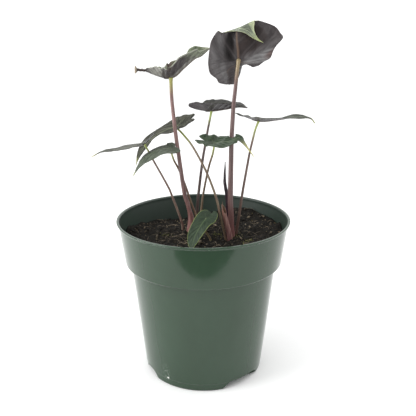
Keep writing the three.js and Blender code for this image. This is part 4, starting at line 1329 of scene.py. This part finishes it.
# The upper and the under skin of each leaf
leafLooks = {
    'folded_leaf': (
        {**upperPale, 'veinStrength': 0.6, 'veinWidth': 0.1, 'rimStrength': 0.8, 'rimStart': 0.8,
         'ribWidth': 0.05, 'patches': [
             ((0.72, 0.82), (0.2, 0.1), (0.1, 0.116, 0.082), 0.8, 0.5),
             ((0.9, 0.84), (0.14, 0.12), (0.46, 0.52, 0.3), 0.7, 0.5)]},
        {**underPurple, 'gloss': 0.22, 'dark': (0.035, 0.03, 0.031), 'pale': (0.105, 0.096, 0.097),
         'veinStrength': 0.14, 'ribWidth': 0.045, 'rib': (0.115, 0.076, 0.055), 'patches': [
             ((0.2, 0.42), (0.3, 0.42), (0.09, 0.085, 0.086), 0.7, 0.6),
             # painted shade in the valley beside the midrib
             ((0.38, 0.57), (0.18, 0.17), (0.006, 0.004, 0.004), 1.0, 0.6),
             # painted shade under the rolled flap and along the fold
             ((0.66, 0.62), (0.24, 0.1), (0.03, 0.022, 0.02), 0.95, 0.5),
             ((0.6, 0.55), (0.2, 0.045), (0.025, 0.018, 0.017), 0.9, 0.5),
             # a painted reflection of the white floor on the lower right lobe
             ((0.78, 0.34), (0.36, 0.17), (0.22, 0.215, 0.215), 0.9, 0.25),
             ((0.97, 0.38), (0.12, 0.1), (0.1, 0.05, 0.042), 0.7, 0.6),
             # painted highlights on the ridges of the left lobe, with painted shade in the hollow between
             # them
             ((0.21, 0.25), (0.06, 0.24), (0.17, 0.165, 0.165), 0.6, 0.6),
             ((0.34, 0.24), (0.08, 0.22), (0.035, 0.029, 0.029), 0.85, 0.6),
             ((0.44, 0.25), (0.03, 0.22), (0.14, 0.13, 0.13), 0.4, 0.6)]}),
    'curled_leaf': (
        {**upperOlive, 'dark': (0.04, 0.05, 0.025), 'pale': (0.13, 0.16, 0.09), 'rim': (0.3, 0.33, 0.24),
         'rimStrength': 0.8, 'tip': (0.38, 0.4, 0.3), 'patches': [
             ((0.1, 0.83), (0.3, 0.05), (0.03, 0.045, 0.02), 0.85, 0.6),
             ((0.2, 0.25), (0.5, 0.2), (0.2, 0.2, 0.17), 0.7, 0.5)], 'overRim': [
             ((0.02, 0.485), (0.22, 0.12), (0.05, 0.03, 0.024), 0.95, 0.6),
             ((0.95, 0.5), (0.16, 0.1), (0.06, 0.045, 0.04), 0.9, 0.5), *witheredLobe]},
        # its pale rim underneath is a painted highlight along the margins
        {**underPurple, 'rim': (0.5, 0.49, 0.45), 'rimStrength': 0.8, 'rimStart': 0.88,
         'tip': (0.36, 0.36, 0.3), 'patches': [
             ((0.75, 0.2), (0.32, 0.2), (0.36, 0.36, 0.32), 0.85, 0.5),
             ((0.72, 0.33), (0.25, 0.05), (0.04, 0.034, 0.032), 0.8, 0.6),
             ((0.57, 0.72), (0.07, 0.26), (0.3, 0.3, 0.27), 0.75, 0.5),
             ((0.85, 0.86), (0.45, 0.2), (0.25, 0.28, 0.2), 0.9, 0.6)], 'overRim': [
             ((0.95, 0.5), (0.16, 0.1), (0.07, 0.055, 0.05), 0.9, 0.5), *witheredLobe]}),
    'back_leaf': (
        {**upperOlive, 'dark': (0.03, 0.028, 0.027), 'pale': (0.06, 0.058, 0.055),
         'tip': (0.12, 0.11, 0.1)},
        {**underPurple, 'gloss': 0.2, 'dark': (0.025, 0.02, 0.022), 'pale': (0.085, 0.08, 0.082),
         'vein': (0.26, 0.25, 0.25), 'veinStrength': 0.4, 'veinWidth': 0.12, 'rim': (0.05, 0.045, 0.045),
         'tip': (0.1, 0.09, 0.085), 'patches': [
             ((0.8, 0.2), (0.5, 0.22), (0.17, 0.155, 0.165), 0.7, 0.4)]}),
    'right_leaf': (
        {**upperOlive, 'tipRange': (0.86, 0.97)},
        {**underPurple, 'dark': (0.05, 0.046, 0.047), 'pale': (0.13, 0.122, 0.122),
         'tip': (0.3, 0.34, 0.14), 'tipRange': (0.88, 0.98)}),
    'far_left_leaf': (
        {**upperOlive, 'dark': (0.04, 0.04, 0.034), 'pale': (0.1, 0.105, 0.086), 'tip': (0.42, 0.4, 0.14)},
        {**underPurple, 'dark': (0.04, 0.036, 0.036), 'pale': (0.13, 0.13, 0.118),
         'tip': (0.42, 0.4, 0.14)}),
    'left_leaf': (
        {**upperOlive, 'gloss': 0.06, 'roughness': 0.6, 'dark': (0.01, 0.011, 0.008),
         'pale': (0.1, 0.1, 0.08), 'streakRange': (0.42, 0.6), 'rim': (0.03, 0.03, 0.022)},
        underPurple),
    'low_left_leaf': (
        {**upperGreen, 'dark': (0.045, 0.06, 0.042), 'pale': (0.13, 0.15, 0.115),
         'vein': (0.2, 0.22, 0.17), 'tip': (0.42, 0.45, 0.18), 'tipRange': (0.93, 1.0)},
        underPurple),
    'centre_leaf': (
        {**upperGreen, 'dark': (0.02, 0.036, 0.019), 'tipRange': (0.82, 0.95), 'patches': [
            ((0.5, 0.4), (0.5, 0.12), (0.02, 0.03, 0.016), 0.6, 0.6)], 'overRim': [
            ((0.5, 1.0), (0.6, 0.035), (0.17, 0.1, 0.06), 0.9, 0.4)]},
        underPurple),
    'small_leaf': (
        {**upperGreen, 'dark': (0.014, 0.026, 0.014), 'pale': (0.042, 0.066, 0.036),
         'rim': (0.26, 0.32, 0.1), 'rimStrength': 0.75, 'rimStart': 0.94, 'rib': (0.1, 0.14, 0.07),
         'ribStrength': 0.6, 'tipRange': (0.97, 1.0)},
        underPurple),
}


def addBlade(name, bm):
    upper, under = leafLooks[name]
    skins = [leafSkin(name + ' upper skin', upper), leafSkin(name + ' under skin', under)]
    piece = addPiece(name + '_lamina', bm, [name + '_blade'], skins)
    piece.vertex_groups.new(name='thickness')
    shell = piece.modifiers.new('thickness', 'SOLIDIFY')
    shell.thickness = bladeValues['thickness'] * mm
    shell.offset = bladeValues['sheetPlace']
    shell.vertex_group = 'thickness'
    shell.material_offset = 1


def makeLeaf(name, ownValues):
    leaf = {**plainLeaf, **ownValues, 'ribPoints': vectors(ownValues['rib']),
            'facePoints': vectors(ownValues['faces'])}
    bm = bladeMesh(lambda side, v, u: bladePoint(leaf, side, v, u), bladeStations(leaf),
                   bladeValues['columns'])
    addBlade(name, bm)
    makeStalk(name, leaf, leaf['rib'][1])


for leafName, leafValues in leaves.items():
    makeLeaf(leafName, leafValues)
print('leaves made')


# The oldest leaf stands up with its underside to the front, and its tip is rolled over forwards.
# Its outline is drawn flat, in mm right of and above the stalk's top, as rows of four points:
# left margin, left inner edge, right inner edge and right margin.
foldedLeaf = {
    'junction': (29.9, 3.6, 282),
    'rows': [
        [(-9, -19.8), (-9, -19.8), (12, -5.6), (12, -5.6)],
        [(-16, -18.8), (-3, -19.3), (8, -3.8), (17, -4.2)],
        [(-18.6, -15.2), (0.6, -13), (6, -3.2), (21.5, -1)],
        [(-24, -11), (2.2, -7.5), (4.4, -3.6), (26.5, 1.8)],
        [(-25.6, -4), (3, -4.2), (3, -4.2), (29, 7.5)],
        [(-25.4, 1.5), (0, 0), (0, 0), (32, 12.3)],
        [(-24.6, 8), (-0.8, 8), (-0.8, 8), (36.8, 18.3)],
        [(-22.9, 16.4), (-1.6, 15), (-1.6, 15), (34.8, 21.8)],
        [(-16.8, 24.2), (-1.8, 21), (-1.8, 21), (29.5, 27.6)],
    ],
    'openRows': 4,  # rows before this one lie beside the cleft
    'rowsPerSpan': 6,
    'columns': 30,
    # The leaf rolls over a line that starts at a point and rises to the right, in degrees
    'rollStart': (-14, 22),
    'rollRise': 21,
    'rollRadius': 2,
    'rollSag': 0.7,
    'rollLength': 28,
    'rollCorner': (-2.2, 0.4),  # left of this the margin stays flat
    # Past the roll: distance beyond it, then places along it of the left margin, midrib and right margin
    'flap': [(-2, -0.4, 12.6, 32.5), (-0.4, 0.8, 13, 29), (1.2, 3.6, 13.8, 28), (2.8, 8.4, 15.4, 27.8),
             (4.4, 13.2, 17.2, 27.4), (7.6, 17.4, 20.2, 25.8), (11.8, 20.4, 22.5, 25.2),
             (16.8, 24, 25, 26.2), (21.6, 29, 29, 29)],
    'flapSlant': 0.12,  # how fast the flap stands off from the leaf
    'cup': (0.006, 0.0035),  # hollow of the left and the right half
    'lean': 0.05,
    'pleatDepth': 0.7,
    'valleyPlace': -6.5,  # a dark valley beside the midrib
    'valleyWidth': 4.5,
    'valleyDepth': 2.2,
    'foldRise': 28,  # a raised fold from the stalk to the right margin
    'foldWidth': 2.6,
    'foldHeight': 1.6,
    'stalk': [(26, -1, 124), (25.2, -1, 136), (24.8, -1, 149), (24.1, -1, 161), (24.2, -1, 180),
              (24.3, -1, 194), (24.5, -1, 214.5), (25.2, -1, 232), (25.9, -1, 245.5), (27.1, -1, 258),
              (28.4, -0.4, 272), (29.6, 1.5, 281.2)],
    'radii': (1.4, 2.8, 3.6),
}


# A point of the outline from its place along the roll's line, a, and across it, q
def besideRoll(a, q):
    rise = math.radians(foldedLeaf['rollRise'])
    startX, startY = foldedLeaf['rollStart']
    x = startX + a * math.cos(rise) - q * math.sin(rise)
    y = startY + a * math.sin(rise) + q * math.cos(rise)
    return x, y


def foldedRows():
    rows = list(foldedLeaf['rows'])
    for q, left, middle, right in foldedLeaf['flap']:
        rows.append([besideRoll(a, q) for a in (left, middle, middle, right)])
    return rows


# Rolls a point of the flat outline over: its place right of and above the stalk, and how far forward it is
def rolledPlace(x, y):
    rise = math.radians(foldedLeaf['rollRise'])
    dx = x - foldedLeaf['rollStart'][0]
    dy = y - foldedLeaf['rollStart'][1]
    a = dx * math.cos(rise) + dy * math.sin(rise)
    onRoll = min(1, max(0, a / foldedLeaf['rollLength']))
    sag = foldedLeaf['rollSag'] * math.sin(math.pi * onRoll) ** 2
    q = dy * math.cos(rise) - dx * math.sin(rise) + sag
    radius = foldedLeaf['rollRadius']
    forward = 0
    flat = q
    if q > -radius:
        angle = (q + radius) / radius
        if angle < math.pi:
            q = -radius + radius * math.sin(angle)
            forward = radius * (1 - math.cos(angle))
        else:
            below = (angle - math.pi) * radius
            q = -radius - below
            forward = 2 * radius + foldedLeaf['flapSlant'] * below
    rolled = smoothStep(a, *foldedLeaf['rollCorner'])
    right, above = besideRoll(a, mix(flat, q, rolled) - sag)
    return right, above, forward * rolled


def foldedPoint(x, y):
    right, above, forward = rolledPlace(x, y)
    cup = foldedLeaf['cup'][0 if right < 0 else 1]
    fromStalk = min(1, math.hypot(right, above) / 18)
    pleats = foldedLeaf['pleatDepth'] * math.sin(right * 0.42 + above * 0.16) * fromStalk
    back = cup * right * right + foldedLeaf['lean'] * abs(above) + pleats
    valley = math.exp(-((right - foldedLeaf['valleyPlace']) / foldedLeaf['valleyWidth']) ** 2)
    back += foldedLeaf['valleyDepth'] * valley * smoothStep(above, -8, 6)
    fold = math.radians(foldedLeaf['foldRise'])
    beside = above * math.cos(fold) - right * math.sin(fold)
    ridge = math.exp(-(beside / foldedLeaf['foldWidth']) ** 2)
    back -= foldedLeaf['foldHeight'] * ridge * smoothStep(right, 1, 10)
    jx, jy, jz = foldedLeaf['junction']
    return Vector((jx + right, jy + back - forward, jz + above)) * mm


def makeFoldedLeaf():
    rows = foldedRows()
    last = len(rows) - 1
    opened = foldedLeaf['openRows']
    columns = [[Vector((*row[i], 0)) for row in rows] for i in range(4)]
    middle = [Vector((*row[1], 0)) for row in rows[opened:]]

    # Stations run from -1 at the first row past 0 at the stalk to 1 at the last
    def rowAt(v):
        return (v + 1) * (opened + 1) if v < 0 else opened + 1 + v * (last - opened - 1)

    def pointAt(side, v, u):
        row = rowAt(v)
        outer = curvePoint(columns[0 if side < 0 else 3], row / last)
        if row >= opened:
            inner = curvePoint(middle, (row - opened) / (last - opened))
        else:
            inner = curvePoint(columns[1 if side < 0 else 2][:opened + 1], row / opened)
        place = inner + (outer - inner) * u
        return foldedPoint(place.x, place.y)

    perSpan = foldedLeaf['rowsPerSpan']
    behind = perSpan * (opened + 1)
    ahead = perSpan * (last - opened - 1)
    stations = [i / behind - 1 for i in range(behind)] + [i / ahead for i in range(ahead + 1)]
    addBlade('folded_leaf', bladeMesh(pointAt, stations, foldedLeaf['columns'], True))
    makeStalk('folded_leaf', foldedLeaf, foldedLeaf['junction'])


makeFoldedLeaf()
print('folded leaf made')


# The new leaf, still rolled up, with a raised edge that winds round it
spike = {
    'path': [(22.1, 4.6, 124), (22.2, 4.6, 148), (21.1, 4, 164), (19.4, 4, 174), (19, 4, 183),
             (19.3, 4, 195)],
    'radii': [1.8, 1.9, 1.7, 1.7, 1.6, 1.15, 0.4],
    'sides': 24,
    'ringSpacing': 1.2,
    'edgeTurns': 3.2,
    'edgeRise': 0.22,
    'edgePower': 10,  # a higher one gives a narrower edge
    'dark': (0.012, 0.007, 0.011),
    'pale': (0.05, 0.025, 0.035),
    'roughness': 0.3,
}

# The sheath of an old leaf, cut off slanted and hollow, with a dried tip
sheath = {
    'path': [(24.1, -7.8, 124), (23.3, -7.6, 131), (20.8, -7.2, 140.4), (18.8, -6.8, 149.8),
             (17.6, -6.6, 160)],
    'radii': [2.2, 2.2, 2.4, 2.35, 2, 1.7],
    'sides': 28,
    'ringSpacing': 1.0,
    'ridgeDepth': 0.03,
    'cutPlace': (18.6, -7, 154),
    'cutFacing': (0.62, -0.62, 0.48),
    'wall': 0.5,
    'tip': [(16.9, -6, 157), (16.8, -6, 158.6), (16.9, -6, 160.2), (16.7, -6, 161.6)],
    'tipRadius': 0.26,
    'tipSides': 8,
    'tipSpacing': 0.4,
    'foot': (0.17, 0.075, 0.075),
    'top': (0.2, 0.1, 0.07),
    'streak': (0.3, 0.17, 0.15),
    'inside': (0.2, 0.12, 0.07),
    'insideDark': (0.12, 0.072, 0.042),
    'roughness': 0.42,
    'insideRoughness': 0.6,
}


def listedRadius(radii, share):
    place = share * (len(radii) - 1)
    i = min(int(place), len(radii) - 2)
    return mix(radii[i], radii[i + 1], smoothStep(place - i, 0, 1))


def makeSpike():
    path = stalkPath(spike['path'])
    bm = sweptMesh(path, lambda share: listedRadius(spike['radii'], share), spike['sides'],
                   spike['ringSpacing'])
    along = bm.verts.layers.float['along']
    for vert in bm.verts:
        axis = curvePoint(path, evenShare(path, vert[along]))
        offset = vert.co - axis
        angle = math.atan2(offset.y, offset.x) - spike['edgeTurns'] * 2 * math.pi * vert[along]
        vert.co += offset * spike['edgeRise'] * max(0, math.cos(angle)) ** spike['edgePower']
    material, tree, shader = newMaterial('rolled leaf skin', spike['roughness'])
    streaks = strandNode(tree, 1100, 60, 2.0)
    colour = mixNode(tree, rangeNode(tree, streaks, 0.4, 0.7), spike['dark'], spike['pale'])
    feed(tree, colour, shader.inputs['Base Color'])
    feed(tree, bumpNode(tree, streaks, 0.0002), shader.inputs['Normal'])
    addPiece('rolled_new_leaf', bm, ['new_leaf_spike'], [material])


def sheathSkin():
    material, tree, shader = newMaterial('old sheath skin', sheath['roughness'])
    along = attributeNode(tree, 'along')
    streaks = strandNode(tree, 1200, 70, 3.0)
    colour = mixNode(tree, rangeNode(tree, along, 0.3, 0.95), sheath['foot'], sheath['top'])
    colour = mixNode(tree, rangeNode(tree, streaks, 0.42, 0.7), colour, sheath['streak'])
    feed(tree, colour, shader.inputs['Base Color'])
    feed(tree, bumpNode(tree, streaks, 0.0003), shader.inputs['Normal'])
    return material


def sheathInside():
    material, tree, shader = newMaterial('old sheath inside', sheath['insideRoughness'])
    streaks = strandNode(tree, 1400, 90, 3.0)
    feed(tree, mixNode(tree, streaks, sheath['insideDark'], sheath['inside']), shader.inputs['Base Color'])
    return material


def makeSheath():
    path = stalkPath(sheath['path'])
    bm = sweptMesh(path, lambda share: listedRadius(sheath['radii'], share), sheath['sides'],
                   sheath['ringSpacing'], sheath['ridgeDepth'])
    bmesh.ops.bisect_plane(bm, geom=[*bm.verts, *bm.edges, *bm.faces], clear_outer=True,
                           plane_co=Vector(sheath['cutPlace']) * mm, plane_no=Vector(sheath['cutFacing']))
    inner = sheathInside()
    piece = addPiece('cut_sheath', bm, ['old_sheath'], [sheathSkin(), inner])
    wall = piece.modifiers.new('wall', 'SOLIDIFY')
    wall.thickness = sheath['wall'] * mm
    wall.offset = -1
    wall.material_offset = 1
    tip = sweptMesh(vectors(sheath['tip']), lambda share: sheath['tipRadius'] * (1.2 - share),
                    sheath['tipSides'], sheath['tipSpacing'])
    addPiece('sheath_tip', tip, [], [inner])


makeSpike()
makeSheath()
print('new leaf and sheath made')
